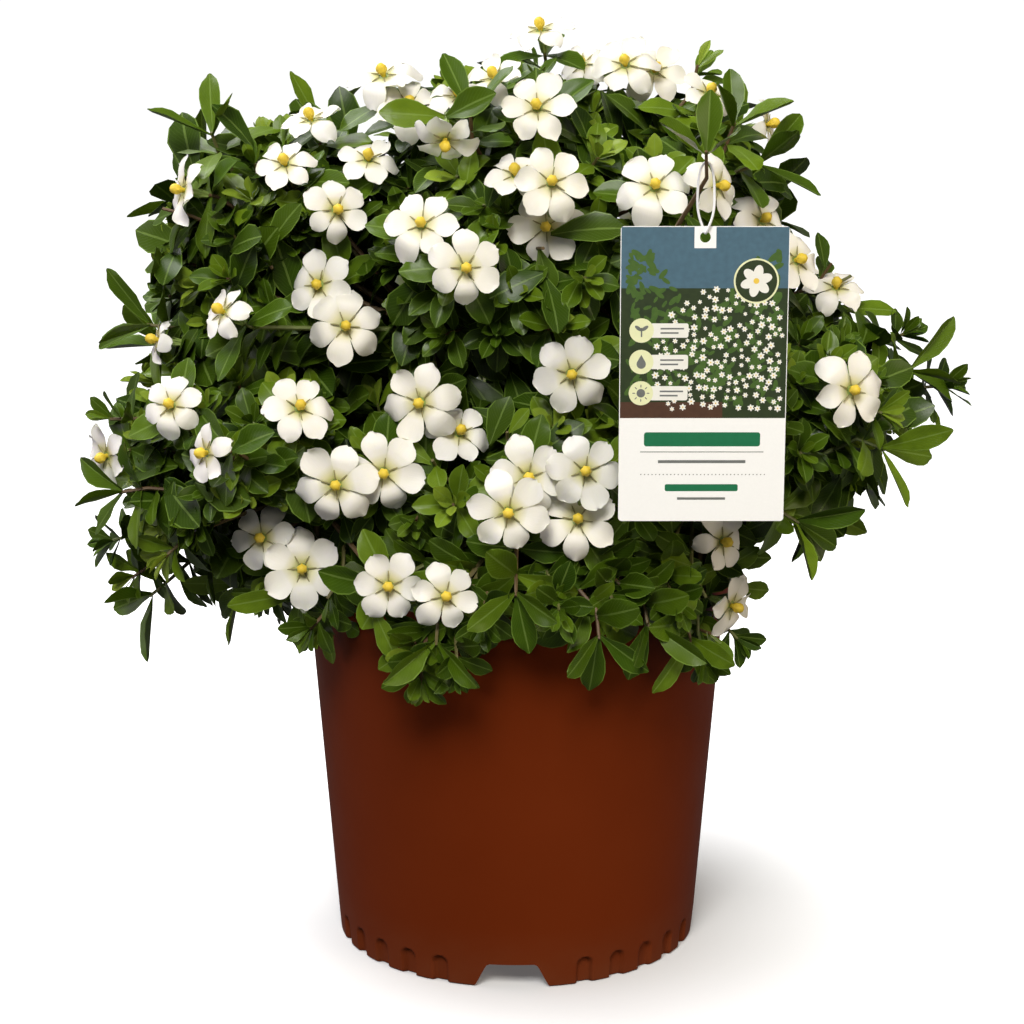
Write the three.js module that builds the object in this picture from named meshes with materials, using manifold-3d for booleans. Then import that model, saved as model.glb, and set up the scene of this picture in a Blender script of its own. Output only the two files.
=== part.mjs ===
// A gardenia in bloom in its moulded nursery pot, with a card tag on a twig. Millimetres, +Z up,
// origin on the ground under the middle of the pot, -Y towards the side that shows most blooms.
import * as THREE from 'three';
import { mergeVertices } from 'three/addons/utils/BufferGeometryUtils.js';
import Module from 'manifold-3d';

const wasm = await Module();
wasm.setup();

// Pot
const POT_HEIGHT = 245;
const FOOT_RADIUS = 118;
const RIM_LINE_Z = 229;
const RIM_LINE_RADIUS = 135.8;
const RIM_RADIUS = 139.8;
const WALL = 2.2;
const FLOOR_Z = 17;
const FLOOR_THICKNESS = 2.5;
const SKIRT = 5.5;
const POT_SIDES = 40;
const FLUTE = { width: 10.5, height: 17.5, depth: 3 };
const FLUTE_PITCH_DEG = 11.25;
const NOTCHES = 4;
const NOTCH = { foot: 45, head: 29, height: 15.5 };
const FOOT_TURN_DEG = -1.5;
const DRAIN = { count: 6, radius: 6, ring: 80 };

// Potting mix
const SOIL_Z = 221;
const SOIL_DOME = 6;
const CLEAR = 0.3;

// Wood
const CROWN_Z = 232;
const ROOT_DEPTH = 45;
const TRUNK_RADIUS = 8;
const LIMB_RADIUS = 4.2;
const STEM_RADIUS = 2.6;
const TWIG_RADIUS = 1.5;

// Bloom
const PETALS = 6;
const BLOOM_RADIUS = 23.5;
const THROAT_RADIUS = 4.5;
const PETAL_THICKNESS = 1;
const TUBE = 15;
const STIGMA_HEIGHT = 7.5;

// Leaves
const LEAF_THICKNESS = 1;
const EASE = 0.5;
const STRAIGHT = { bloom: 6, leaves: 18 };
const TWIG_TRIES = 160;
const START_STRAY = 32;

// Tag and its tie
const TAG = { width: 93, height: 165, thickness: 0.8, hole: 3, holeDrop: 6 };
const TIE = { radius: 0.9, half: 4.5, drop: 40, back: 12, slack: 2.4 };

// The front is marked as it is seen from EYE, looking down by LOOK_DOWN_DEG: how far right of the middle and
// how high above the foot, at the scale that things have at the reach.
const EYE = [-3, -1400, 555];
const LOOK_DOWN_DEG = 11.15;
const MARKS = { across: { reach: 1423.5, middle: -2.6 }, up: { reach: 1434.5, middle: 269.2 } };

// The bush is made of rounded masses: centre, then half-width, half-depth and half-height.
const MASSES = [
  { at: [-150, 6, 440], size: [95, 132, 104] },
  { at: [0, 17, 448], size: [122, 166, 134] },
  { at: [95, 10, 444], size: [89, 148, 118] },
  { at: [-165, 12, 328], size: [104, 168, 98] },
  { at: [0, 14, 312], size: [183, 187, 96] },
  { at: [150, 12, 350], size: [108, 168, 86] },
];

// Below them the foliage hangs round the pot's rim.
const SKIRT_ROUND = { radius: 170, from: 165, to: 272 };

// Blooms that show from the front: [right, up, turn, lift, size]. Turn and lift are where the face looks,
// in degrees from straight ahead. A row is one node; blooms in one row overlap and are joined.
const FRONT_BLOOMS = [
  [[16, 585, -20, 62, 0.95]],
  [[-70, 535, 10, 45, 1], [-86, 555, -20, 52, 1]],
  [[-133, 526, -30, 60, 0.9]],
  [[71, 562, -10, 42, 1], [90, 558, 15, 38, 1], [44, 562, -35, 35, 0.8]],
  [[14, 534, -10, 25, 1]],
  [[-46, 513, 0, -45, 0.9]],
  [[23, 485, 5, 15, 1], [0, 490, -15, 50, 0.9], [20, 456, -10, 5, 1.05]],
  [[-216, 480, -62, 12, 1]],
  [[90, 482, 0, 30, 1.05]],
  [[131, 483, 50, 5, 0.95]],
  [[-61, 457, -10, 25, 1]],
  [[-33, 429, 10, 5, 1]],
  [[-117, 467, 20, 10, 0.9]],
  [[-150, 497, -10, 40, 0.85]],
  [[-96, 500, 5, 45, 0.85]],
  [[-111, 391, 5, 12, 1.1], [-128, 418, -15, 12, 1]],
  [[-190, 400, -50, 28, 0.75]],
  [[-232, 382, -75, 10, 0.7]],
  [[-224, 339, -10, 20, 0.85]],
  [[-266, 306, -45, -5, 0.9]],
  [[-201, 308, -45, 5, 0.85]],
  [[-141, 337, 20, 35, 0.95]],
  [[-62, 341, -15, 5, 1.1], [-37, 321, 20, 30, 0.95]],
  [[-117, 287, 0, 5, 1.15], [-86, 295, 0, 5, 1.1]],
  [[36, 360, 0, 0, 1.1]],
  [[-5, 269, 0, 3, 1.1], [8, 292, 5, 5, 1.1]],
  [[45, 296, 5, 5, 1], [40, 264, 0, 22, 1.1]],
  [[-139, 232, 5, 10, 1.1], [-165, 252, -15, 15, 1]],
  [[-46, 214, 10, 12, 0.9], [-83, 221, 0, 8, 0.95]],
  [[140, 208, 50, -8, 0.95]],
  [[218, 349, 20, 5, 1.05]],
  [[208, 416, 0, 55, 0.9]],
  [[182, 434, 40, 20, 0.95], [160, 460, 30, 25, 0.95]],
  [[-14, 553, -25, 50, 0.85], [-38, 541, 0, 58, 0.85]],
  [[125, 543, 30, 45, 0.8]],
  [[163, 523, 70, 10, 0.75]],
  [[134, 250, 35, 5, 0.9]],
];
// How much further back than the one before the blooms of a row may sit, and how far a row may be moved.
const BEHIND = [9, 12, 15, 18];
const SHIFTS = [0, -6, 6, -12, 12, -20, 20, -30, -40];

// Pairs of blooms on the sides and back: [bearing, height] in degrees and millimetres.
const BACK_BLOOMS = [[30, 330], [62, 455], [88, 300], [115, 410], [150, 335]];
const PAIR_GAP = 40;

// Leafy tips along the outline as seen from the front: [right, up, turn, lift].
const OUTLINE_TIPS = [
  [-198, 518, -40, 66], [-230, 468, -85, 15], [-240, 392, -80, 8], [-258, 282, -85, -8],
  [-238, 214, -75, -38], [142, 524, 40, 64], [160, 498, 80, 20], [218, 424, 75, 30],
  [258, 362, 85, 6], [240, 310, 80, -20], [184, 262, 75, -30], [-30, 534, -20, 80],
];

// The twig that the tag hangs on ends here.
const TAG_TIP = { at: [102.3, -197, 517.3], turn: -8, lift: 55 };

// Twigs that hang over the rim in front, marked as the blooms are, and those round the rest of the rim.
const HANGING_TIPS = [
  [-52, 182, -8, -62], [-96, 208, -28, -50], [54, 186, 10, -60], [86, 194, 18, -58], [114, 184, 30, -60],
  [0, 214, 0, -48], [146, 214, 50, -45], [-142, 214, -50, -45],
];
const SKIRT_TIPS = { count: 11, radius: 180, z: 228, lift: -42, behind: -60, rightTo: 140 };

// The spacing of the tips that fill the rest, in front where the blooms are and elsewhere, and how far they
// stand back from the surface.
const FILL = {
  perMass: 70, frontSpacing: 100, spacing: 90, frontTo: -60, lowest: 258, inset: 16, insetBehind: 7,
};

// Tiers of leafy branches: how many, how far out and how high their middles are, and how much of the way
// there from the crown is wood.
const TIERS = [[7, 125, 300, 0.42], [5, 78, 405, 0.38], [1, 0, 462, 0.56]];
// The dense inside of the foliage is a core in each branch, well under the surface of the bush.
const CORES = [
  { at: [-5, 18, 303], size: [178, 132, 60] },
  { at: [-8, 22, 416], size: [130, 102, 96] },
];
const CORE_GAP = 1.5;
const CORE_LOWEST = 238;
// The cores leave room for the wood: [distance from the axis, height].
const WELL = [[0, 150], [88, 150], [74, 250], [50, 330], [28, 392], [0, 405]];
const TIER_TURN_DEG = 38;

const UP = new THREE.Vector3(0, 0, 1);
const vec = (a) => new THREE.Vector3(a[0], a[1], a[2]);
const rad = THREE.MathUtils.degToRad;

// A repeatable number from 0 to 1.
function draw(key, n) {
  const s = Math.sin(key * 12.9898 + n * 78.233 + 4.1) * 43758.5453;
  return s - Math.floor(s);
}

const between = (low, high, key, n) => low + (high - low) * draw(key, n);

// A direction from a turn and a lift: turn 0 looks along -Y and 90 along +X.
function facing(turn, lift) {
  const t = rad(turn);
  const l = rad(lift);
  return new THREE.Vector3(Math.sin(t) * Math.cos(l), -Math.cos(t) * Math.cos(l), Math.sin(l));
}

// A frame whose Z axis is a direction, turned about it by spin.
function frameAt(at, direction, spin = 0) {
  const side = Math.abs(direction.z) > 0.95 ? new THREE.Vector3(1, 0, 0) : UP.clone();
  const x = side.cross(direction).normalize();
  const y = direction.clone().cross(x);
  const matrix = new THREE.Matrix4().makeBasis(x, y, direction);
  return matrix.setPosition(at).multiply(new THREE.Matrix4().makeRotationZ(spin));
}

// Solids and meshes

function solidOf(geometry) {
  const bare = geometry.clone();
  bare.deleteAttribute('normal');
  bare.deleteAttribute('uv');
  const merged = mergeVertices(bare, 1e-4);
  const mesh = new wasm.Mesh({
    numProp: 3,
    vertProperties: new Float32Array(merged.attributes.position.array),
    triVerts: new Uint32Array(merged.index.array),
  });
  return new wasm.Manifold(mesh);
}

function geometryOf(solid) {
  const mesh = solid.getMesh();
  const geometry = new THREE.BufferGeometry();
  geometry.setAttribute('position', new THREE.BufferAttribute(new Float32Array(mesh.vertProperties), 3));
  geometry.setIndex(new THREE.BufferAttribute(new Uint32Array(mesh.triVerts), 1));
  geometry.computeVertexNormals();
  return geometry;
}

const joined = (solids) => solids.reduce((all, one) => all.add(one));

// The outer skin of the largest body, without scraps and without what it seals in.
const largest = (solid) => solid.decompose().sort((a, b) => b.volume() - a.volume())[0];

// A tube of a few sides along a curve.
function tube(curve, radius, sides, steps) {
  const ring = [];
  for (let i = 0; i < sides; i += 1) {
    const a = (2 * Math.PI * i) / sides;
    ring.push(new THREE.Vector2(radius * Math.cos(a), radius * Math.sin(a)));
  }
  const section = new THREE.Shape(ring);
  return solidOf(new THREE.ExtrudeGeometry(section, { steps, extrudePath: curve, bevelEnabled: false }));
}

// A lathe profile closed on the axis, as a solid.
function turned(profile, sides) {
  const outline = profile.map(([r, z]) => new THREE.Vector2(r, z));
  return solidOf(new THREE.LatheGeometry(outline, sides).rotateX(Math.PI / 2));
}

// An outline drawn across a wall, as a block that reaches through it at a bearing round the pot.
function wallCutter(outline, bearing, inner, depth) {
  const shape = new THREE.Shape(outline.map(([x, z]) => new THREE.Vector2(x, z)));
  const block = new THREE.ExtrudeGeometry(shape, { depth, bevelEnabled: false });
  block.rotateX(Math.PI / 2).translate(0, -inner, 0).rotateZ(bearing);
  return solidOf(block);
}

// Pot

const wallRadius = (z) => FOOT_RADIUS + ((RIM_LINE_RADIUS - FOOT_RADIUS) * z) / RIM_LINE_Z;

function potSolid() {
  const floorTop = FLOOR_Z + FLOOR_THICKNESS;
  const body = turned([
    [0, FLOOR_Z],
    [FOOT_RADIUS - SKIRT, FLOOR_Z],
    [FOOT_RADIUS - SKIRT, 0],
    [FOOT_RADIUS, 0],
    [RIM_LINE_RADIUS, RIM_LINE_Z],
    [RIM_RADIUS, RIM_LINE_Z + 1],
    [RIM_RADIUS + 0.5, POT_HEIGHT],
    [RIM_RADIUS - WALL - 1, POT_HEIGHT],
    [RIM_LINE_RADIUS - WALL, RIM_LINE_Z],
    [wallRadius(floorTop) - SKIRT, floorTop],
    [0, floorTop],
  ], POT_SIDES);
  const cutters = [];
  const pitch = rad(FLUTE_PITCH_DEG);
  const half = FLUTE.width / 2;
  const shoulder = FLUTE.height - half;
  const arch = [[-half, -2], [half, -2], [half, shoulder], [0, FLUTE.height], [-half, shoulder]];
  const { foot, head, height } = NOTCH;
  const side = [[foot / 2 + 2, -2], [head / 2 + 2, height - 2.5], [head / 2, height]];
  const notch = [...side, ...side.map(([x, z]) => [-x, z]).reverse()];
  const places = Math.round((2 * Math.PI) / pitch);
  const perNotch = places / NOTCHES;
  for (let i = 0; i < places; i += 1) {
    const step = i % perNotch;
    const bearing = i * pitch + rad(FOOT_TURN_DEG);
    if (step === 0) cutters.push(wallCutter(notch, bearing, FOOT_RADIUS - SKIRT - 6, 30));
    else if (step > 1 && step < perNotch - 1) {
      cutters.push(wallCutter(arch, bearing, FOOT_RADIUS - FLUTE.depth, 20));
    }
  }
  for (let i = 0; i < DRAIN.count; i += 1) {
    const a = ((i + 0.5) * 2 * Math.PI) / DRAIN.count;
    const hole = new THREE.CylinderGeometry(DRAIN.radius, DRAIN.radius, 12, 6).rotateX(Math.PI / 2);
    hole.translate(DRAIN.ring * Math.cos(a), DRAIN.ring * Math.sin(a), FLOOR_Z);
    cutters.push(solidOf(hole));
  }
  return cutters.reduce((pot, cutter) => pot.subtract(cutter), body);
}

function soilSolid() {
  const base = FLOOR_Z + FLOOR_THICKNESS + CLEAR;
  const rootBall = turned([
    [0, base],
    [wallRadius(base) - SKIRT - 1, base],
    [wallRadius(SOIL_Z) - WALL - 1, SOIL_Z - 2],
    [100, SOIL_Z + SOIL_DOME * 0.15],
    [55, SOIL_Z + SOIL_DOME * 0.6],
    [0, SOIL_Z + SOIL_DOME],
  ], 24);
  const hole = new THREE.CylinderGeometry(TRUNK_RADIUS + 1, TRUNK_RADIUS + 1, 2 * ROOT_DEPTH, 8);
  hole.rotateX(Math.PI / 2).translate(0, 0, SOIL_Z + SOIL_DOME);
  return rootBall.subtract(solidOf(hole));
}

// Shape of the bush

function insideBush(p, scale = 1) {
  const { radius, from, to } = SKIRT_ROUND;
  if (p[2] > from && p[2] < to && Math.hypot(p[0], p[1]) < radius * scale) return true;
  return MASSES.some(({ at, size }) => {
    const d = [0, 1, 2].map((k) => (p[k] - at[k]) / (size[k] * scale));
    return d[0] * d[0] + d[1] * d[1] + d[2] * d[2] < 1;
  });
}

// The point on the plane y = 0 that is seen where a mark is.
function marked(right, up) {
  const across = (right - MARKS.across.middle) / MARKS.across.reach;
  const above = (up - MARKS.up.middle) / MARKS.up.reach;
  const down = rad(LOOK_DOWN_DEG);
  const far = -EYE[1] / (Math.cos(down) + above * Math.sin(down));
  return [EYE[0] + across * far, 0, EYE[2] + (above * Math.cos(down) - Math.sin(down)) * far];
}

// The first point of the bush on the way from one point to another, or the second one if there is none.
function firstPoint(from, to) {
  const at = (t) => [0, 1, 2].map((k) => from[k] + (to[k] - from[k]) * t);
  let t = 0.5;
  while (t < 1.2 && !insideBush(at(t))) t += 0.004;
  return t < 1.2 ? at(t) : at(1);
}

// Tips: where a twig ends, the way it points, and what it carries

// The blooms of a front row, seen where the row says, with the row moved by a shift along the line of sight.
function frontRow(row, node, shift, behind) {
  const first = firstPoint(EYE, marked(row[0][0], row[0][1]));
  return row.map(([right, up, turn, lift, size], k) => {
    const share = (first[1] - EYE[1] + shift + behind * k) / -EYE[1];
    const at = vec(EYE).lerp(vec(marked(right, up)), share);
    return { at, direction: facing(turn, lift), size, key: 10 * node + k };
  });
}

// A pair of blooms on the side or back, moved outwards by a shift.
function backRow([bearing, height], node, shift, behind) {
  const a = rad(bearing);
  const first = vec(firstPoint([600 * Math.cos(a), 600 * Math.sin(a), height], [0, 0, height]));
  const direction = new THREE.Vector3(Math.cos(a), Math.sin(a), between(-0.1, 0.6, node, 1)).normalize();
  const side = frameAt(first.addScaledVector(direction, shift), direction, between(0, 6, node, 2));
  return [0, 1].map((k) => {
    const at = new THREE.Vector3(k * PAIR_GAP, 0, -behind * k).applyMatrix4(side);
    return { at, direction, size: 1, key: 10 * node + k };
  });
}

function leafTips(taken) {
  const tips = [];
  const add = (at, direction, kind) => tips.push({ at, direction, kind, key: 700 + tips.length });
  OUTLINE_TIPS.forEach(([right, up, turn, lift]) => {
    add(vec(firstPoint(EYE, marked(right, up))), facing(turn, lift), 'outline');
  });
  add(vec(TAG_TIP.at), facing(TAG_TIP.turn, TAG_TIP.lift), 'tag');
  HANGING_TIPS.forEach(([right, up, turn, lift]) => {
    add(vec(firstPoint(EYE, marked(right, up))), facing(turn, lift), 'skirt');
  });
  for (let i = 0; i < SKIRT_TIPS.count; i += 1) {
    const turn = (360 * (i + 0.5)) / SKIRT_TIPS.count + between(-6, 6, i, 5);
    const out = facing(turn, 0).multiplyScalar(SKIRT_TIPS.radius + between(-5, 12, i, 6));
    out.z = SKIRT_TIPS.z + between(-8, 14, i, 7);
    if (out.y < SKIRT_TIPS.behind || out.x > SKIRT_TIPS.rightTo) continue;
    add(out, facing(turn, SKIRT_TIPS.lift), 'skirt');
  }
  MASSES.forEach(({ at, size }, m) => {
    for (let i = 0; i < FILL.perMass; i += 1) {
      const high = 1 - (2 * (i + 0.5)) / FILL.perMass;
      const turn = i * Math.PI * (3 - Math.sqrt(5)) + m;
      const flat = Math.sqrt(1 - high * high);
      const unit = [flat * Math.cos(turn), flat * Math.sin(turn), high];
      const p = vec([0, 1, 2].map((k) => at[k] + size[k] * unit[k]));
      const spacing = p.y < FILL.frontTo ? FILL.frontSpacing : FILL.spacing;
      const near = [...taken, ...tips].some((t) => t.at.distanceTo(p) < spacing);
      if (p.z < FILL.lowest || near || insideBush(p.toArray(), 0.97)) continue;
      const out = vec([0, 1, 2].map((k) => unit[k] / size[k])).normalize();
      const inset = p.y < 0 ? FILL.inset : FILL.insetBehind;
      add(p.addScaledVector(out, -inset), out, 'fill');
    }
  });
  return tips;
}

// Leafy branches: the middle of each, and the end of the wood on the way there.
function branchRules() {
  const crown = new THREE.Vector3(0, 0, CROWN_Z);
  return TIERS.flatMap(([count, out, z, woody], tier) => Array.from({ length: count }, (_, i) => {
    const middle = facing((360 * i) / count + TIER_TURN_DEG * tier, 0).multiplyScalar(out).setZ(z);
    middle.x *= 1.25;
    return { middle, end: crown.clone().lerp(middle, woody), direction: middle.clone().sub(crown).normalize() };
  }));
}

// The inside of the bush, cut into one core for each branch where their halves meet.
function coreSolids(branches) {
  const masses = CORES.map(({ at, size }) => {
    const lump = new THREE.SphereGeometry(1, 9, 5).rotateX(Math.PI / 2).scale(...size);
    return solidOf(lump.translate(...at));
  });
  const whole = joined(masses).subtract(turned(WELL, 7)).trimByPlane([0, 0, 1], CORE_LOWEST);
  const othersOf = (branch) => branches.filter((other) => other !== branch);
  return branches.map((branch) => largest(othersOf(branch).reduce((core, other) => {
    const across = branch.middle.clone().sub(other.middle);
    const half = across.dot(branch.middle.clone().add(other.middle)) / 2 / across.length();
    return core.trimByPlane(across.normalize().toArray(), half + CORE_GAP / 2);
  }, whole)));
}

// Wood

function woodSolid(branches) {
  const root = new THREE.Vector3(0, 0, SOIL_Z - ROOT_DEPTH + 12);
  const crown = new THREE.Vector3(0, 0, CROWN_Z);
  const trunk = tube(new THREE.LineCurve3(root, crown.clone().setZ(CROWN_Z + 14)), TRUNK_RADIUS, 7, 1);
  const limbs = branches.map(({ end }) => tube(new THREE.LineCurve3(crown, end), LIMB_RADIUS, 4, 1));
  return joined([trunk, ...limbs]);
}

// Blades: petals and leaves

// The faces of a blade that leaves a stem or throat between two corners, given at its lower and upper face.
// Rim holds the rest of its outline in turn, each point with its lower and upper index.
function bladeFaces(from, to, rim) {
  const faces = [];
  const outline = [from, ...rim, to];
  for (let i = 0; i + 1 < outline.length; i += 1) {
    const [a, b] = [outline[i], outline[i + 1]];
    faces.push(a[0], b[0], b[1], a[0], b[1], a[1]);
  }
  // Strips between the two long edges, alike on both faces.
  let [low, high] = [0, outline.length - 1];
  while (high - low > 1) {
    const [a, b, c] = [outline[low], outline[low + 1], outline[high]];
    faces.push(a[1], b[1], c[1], a[0], c[0], b[0]);
    low += 1;
    if (high - low > 1) {
      const [d, e] = [outline[low], outline[high - 1]];
      faces.push(d[1], e[1], c[1], d[0], c[0], e[0]);
      high -= 1;
    }
  }
  return faces;
}

// Points and faces gathered while a solid is built.
class Skin {
  constructor() {
    this.points = [];
    this.faces = [];
  }

  add(point) {
    return this.points.push(point) - 1;
  }

  ring(points) {
    return points.map((point) => this.add(point));
  }

  // Faces between two rings of as many points, the second one further along.
  band(lower, upper) {
    lower.forEach((a, i) => {
      const j = (i + 1) % lower.length;
      this.faces.push(a, lower[j], upper[i], lower[j], upper[j], upper[i]);
    });
  }

  // Faces from a ring to one of half as many points, whose first points are alike, further along.
  taper(wide, narrow) {
    narrow.forEach((a, i) => {
      const b = narrow[(i + 1) % narrow.length];
      const [p, q, r] = [0, 1, 2].map((k) => wide[(2 * i + k) % wide.length]);
      this.faces.push(p, q, a, q, b, a, q, r, b);
    });
  }

  // Faces from a ring to a point further along.
  cone(ring, apex) {
    ring.forEach((a, i) => this.faces.push(a, ring[(i + 1) % ring.length], apex));
  }

  cap(ring) {
    for (let i = 1; i + 1 < ring.length; i += 1) this.faces.push(ring[0], ring[i], ring[i + 1]);
  }

  solid() {
    const geometry = new THREE.BufferGeometry();
    const places = this.points.flatMap((p) => p.toArray());
    geometry.setAttribute('position', new THREE.Float32BufferAttribute(places, 3));
    geometry.setIndex(this.faces);
    return solidOf(geometry);
  }
}

// Bloom: six petals round a throat, the stigma and the tube that the bloom stands on

function bloomSolid({ at, direction, size, key }, stalk) {
  const skin = new Skin();
  const matrix = frameAt(at, direction, between(0, 1.05, key, 60));
  const point = (angle, out, across, high) => new THREE.Vector3(
    out * Math.cos(angle) - across * Math.sin(angle),
    out * Math.sin(angle) + across * Math.cos(angle),
    high,
  ).applyMatrix4(matrix);
  const around = (count, radius, high) => skin.ring(Array.from(
    { length: count },
    (_, i) => point((2 * Math.PI * i) / count, radius, 0, high),
  ));
  const half = PETAL_THICKNESS / 2;
  const lower = around(PETALS, THROAT_RADIUS, -half);
  const upper = around(PETALS, THROAT_RADIUS, half);
  lower.forEach((_, i) => {
    const j = (i + 1) % PETALS;
    const angle = (2 * Math.PI * (i + 0.5)) / PETALS + between(-0.03, 0.03, key, 40 + i);
    const reach = BLOOM_RADIUS * size * between(0.92, 1.06, key, i);
    const width = 0.36 * BLOOM_RADIUS * size;
    const tip = between(-3.5, 1.5, key, 20 + i);
    const outline = [[0.7 * reach, -width, 2], [1.02 * reach, 0, tip], [0.7 * reach, width, 1]];
    const rim = outline.map(([out, across, high]) => [-half, half].map(
      (side) => skin.add(point(angle, out, across, high + side)),
    ));
    skin.faces.push(...bladeFaces([lower[i], upper[i]], [lower[j], upper[j]], rim));
  });
  skin.cone(upper, skin.add(point(0, 0, 0, STIGMA_HEIGHT)));
  const foot = around(3, 1.8, -TUBE).reverse();
  if (stalk) foot.forEach((i) => skin.points[i].sub(point(0, 0, 0, -TUBE)).add(stalk));
  skin.taper([...lower].reverse(), foot);
  skin.cap(foot);
  return skin.solid();
}

// Where the tubes of a row's other blooms run together with that of the last, which is furthest back.
const stalkOf = (bloom) => bloom.at.clone().addScaledVector(bloom.direction, 2 - TUBE);

// Leafy twigs

// A twig runs from its start over a middle point to a straight end part, and its leaves stand on that.
// A whorl is its distance back from the end and its leaves' length, width, rise and sag.
class Sprig {
  constructor(start, middle, tip, whorls) {
    this.tip = tip;
    this.whorls = whorls;
    this.end = tip.at.clone().addScaledVector(tip.direction, tip.size ? -TUBE - CLEAR : 0);
    const straight = tip.size ? STRAIGHT.bloom : STRAIGHT.leaves;
    this.knee = this.end.clone().addScaledVector(tip.direction, -straight);
    this.path = [start, middle, this.knee, this.end];
    this.side = tip.direction.clone().cross(this.knee.clone().sub(start)).normalize();
  }

  // The corners of the twig at a place, as seen along a direction.
  corners(at, along, spin, radius) {
    const x = this.side.clone().addScaledVector(along, -this.side.dot(along)).normalize();
    const y = along.clone().cross(x);
    return [0, 1, 2].map((k) => {
      const a = spin + (2 * Math.PI * k) / 3;
      return at.clone().addScaledVector(x, radius * Math.cos(a)).addScaledVector(y, radius * Math.sin(a));
    });
  }

  heading(i) {
    const step = (k) => this.path[k + 1].clone().sub(this.path[k]).normalize();
    if (i === 0) return step(0);
    return i === 3 ? step(2) : step(i - 1).add(step(i)).normalize();
  }

  // The outline of a leaf between two corners of the twig, as pairs of a lower and an upper point.
  leaf(whorl, k, spin, ease) {
    const angle = spin + (2 * Math.PI * (k + 0.5)) / 3;
    const y = this.tip.direction.clone().cross(this.side);
    const out = this.side.clone().multiplyScalar(Math.cos(angle)).addScaledVector(y, Math.sin(angle));
    const across = this.tip.direction.clone().cross(out);
    const base = this.end.clone().addScaledVector(this.tip.direction, -whorl.back);
    const length = whorl.length * between(0.85, 1.12, this.tip.key, k + whorl.back);
    const half = whorl.width / 2 + ease;
    const rise = Math.tan(whorl.rise);
    const droop = whorl.sag * between(0.4, 1.3, this.tip.key, 30 + k + whorl.back);
    return [[0.66, -1, 0.45], [1, 0, 1], [0.66, 1, 0.45]].map(([share, side, bent]) => {
      const reach = share * length + (share === 1 ? ease : 0);
      const high = reach * rise - droop * bent + (side === 0 ? 0 : 1.4);
      const point = base.clone().addScaledVector(out, reach).addScaledVector(across, side * half);
      return [-LEAF_THICKNESS - ease, ease].map(
        (by) => point.clone().addScaledVector(this.tip.direction, high + by),
      );
    });
  }

  twig(ease) {
    const skin = new Skin();
    const radius = TWIG_RADIUS + ease;
    const rings = this.path.map((at, i) => skin.ring(this.corners(at, this.heading(i), 0, radius)));
    rings.slice(1).forEach((ring, i) => skin.band(rings[i], ring));
    skin.cap([...rings[0]].reverse());
    skin.cap(rings[3]);
    return skin.solid();
  }

  // One leaf alone, a little larger, to try whether there is room for it.
  lone(whorl, k, spin) {
    const skin = new Skin();
    const base = this.end.clone().addScaledVector(this.tip.direction, -whorl.back);
    const sides = [-LEAF_THICKNESS - EASE, EASE].map((by) => this.corners(
      base.clone().addScaledVector(this.tip.direction, by), this.tip.direction, spin, TWIG_RADIUS,
    ));
    const [a, b, c, d] = [sides[0][k], sides[1][k], sides[0][(k + 1) % 3], sides[1][(k + 1) % 3]]
      .map((p) => skin.add(p));
    const rim = this.leaf(whorl, k, spin, EASE).map((pair) => pair.map((p) => skin.add(p)));
    skin.faces.push(...bladeFaces([a, b], [c, d], rim), c, a, b, c, b, d);
    return skin.solid();
  }

  // The whole sprig with the leaves that were found to fit.
  solid() {
    const skin = new Skin();
    const along = this.tip.direction;
    const ringAt = (i, spin) => skin.ring(this.corners(this.path[i], this.heading(i), spin, TWIG_RADIUS));
    const onEnd = (back, spin) => skin.ring(this.corners(
      this.end.clone().addScaledVector(along, -back), along, spin, TWIG_RADIUS,
    ));
    const rings = [0, 1, 2].map((i) => ringAt(i, this.spin));
    skin.cap([...rings[0]].reverse());
    skin.band(rings[0], rings[1]);
    skin.band(rings[1], rings[2]);
    let last = rings[2];
    this.whorls.forEach((whorl) => {
      const spin = this.spin + whorl.twist;
      const lower = onEnd(whorl.back + LEAF_THICKNESS, spin);
      const upper = onEnd(whorl.back, spin);
      skin.band(last, lower);
      lower.forEach((a, k) => {
        const j = (k + 1) % 3;
        if (whorl.kept[k]) {
          const rim = this.leaf(whorl, k, spin, 0).map((pair) => pair.map((p) => skin.add(p)));
          skin.faces.push(...bladeFaces([a, upper[k]], [lower[j], upper[j]], rim));
        } else skin.faces.push(a, lower[j], upper[j], a, upper[j], upper[k]);
      });
      last = upper;
    });
    const top = onEnd(0, this.spin + (this.whorls.at(-1)?.twist ?? 0));
    skin.band(last, top);
    skin.cap(top);
    return skin.solid();
  }
}

// The whorls of a tip, lowest first: a collar under a bloom, and otherwise a rosette of two whorls.
function whorlsOf(tip) {
  if (tip.size) return [{ back: 2.5, twist: 0, length: 35, width: 17, rise: 0.12, sag: 6 }];
  const upper = { back: 2, twist: Math.PI / 3, length: 29, width: 14.5, rise: 0.8, sag: 2 };
  const lower = { back: 14, twist: 0, length: 37, width: 18, rise: 0.3, sag: 9 };
  return tip.kind === 'tag' ? [{ ...upper, length: 24, rise: 0.9 }] : [lower, upper];
}

// Placing: nothing placed may touch another node's pieces, nor a leaf another leaf of its own branch

const placed = [];
const pieces = new Map();

function place(node, solid, key = null) {
  placed.push({ node, solid, key, box: solid.boundingBox() });
  return solid;
}

function keep(node, solid) {
  pieces.set(node, [...(pieces.get(node) ?? []), solid]);
}

function touches(solid, skipped) {
  const { min, max } = solid.boundingBox();
  const apart = (b) => [0, 1, 2].some((k) => b.min[k] > max[k] || b.max[k] < min[k]);
  return placed.some((p) => !skipped(p) && !apart(p.box) && !p.solid.intersect(solid).isEmpty());
}

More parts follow.
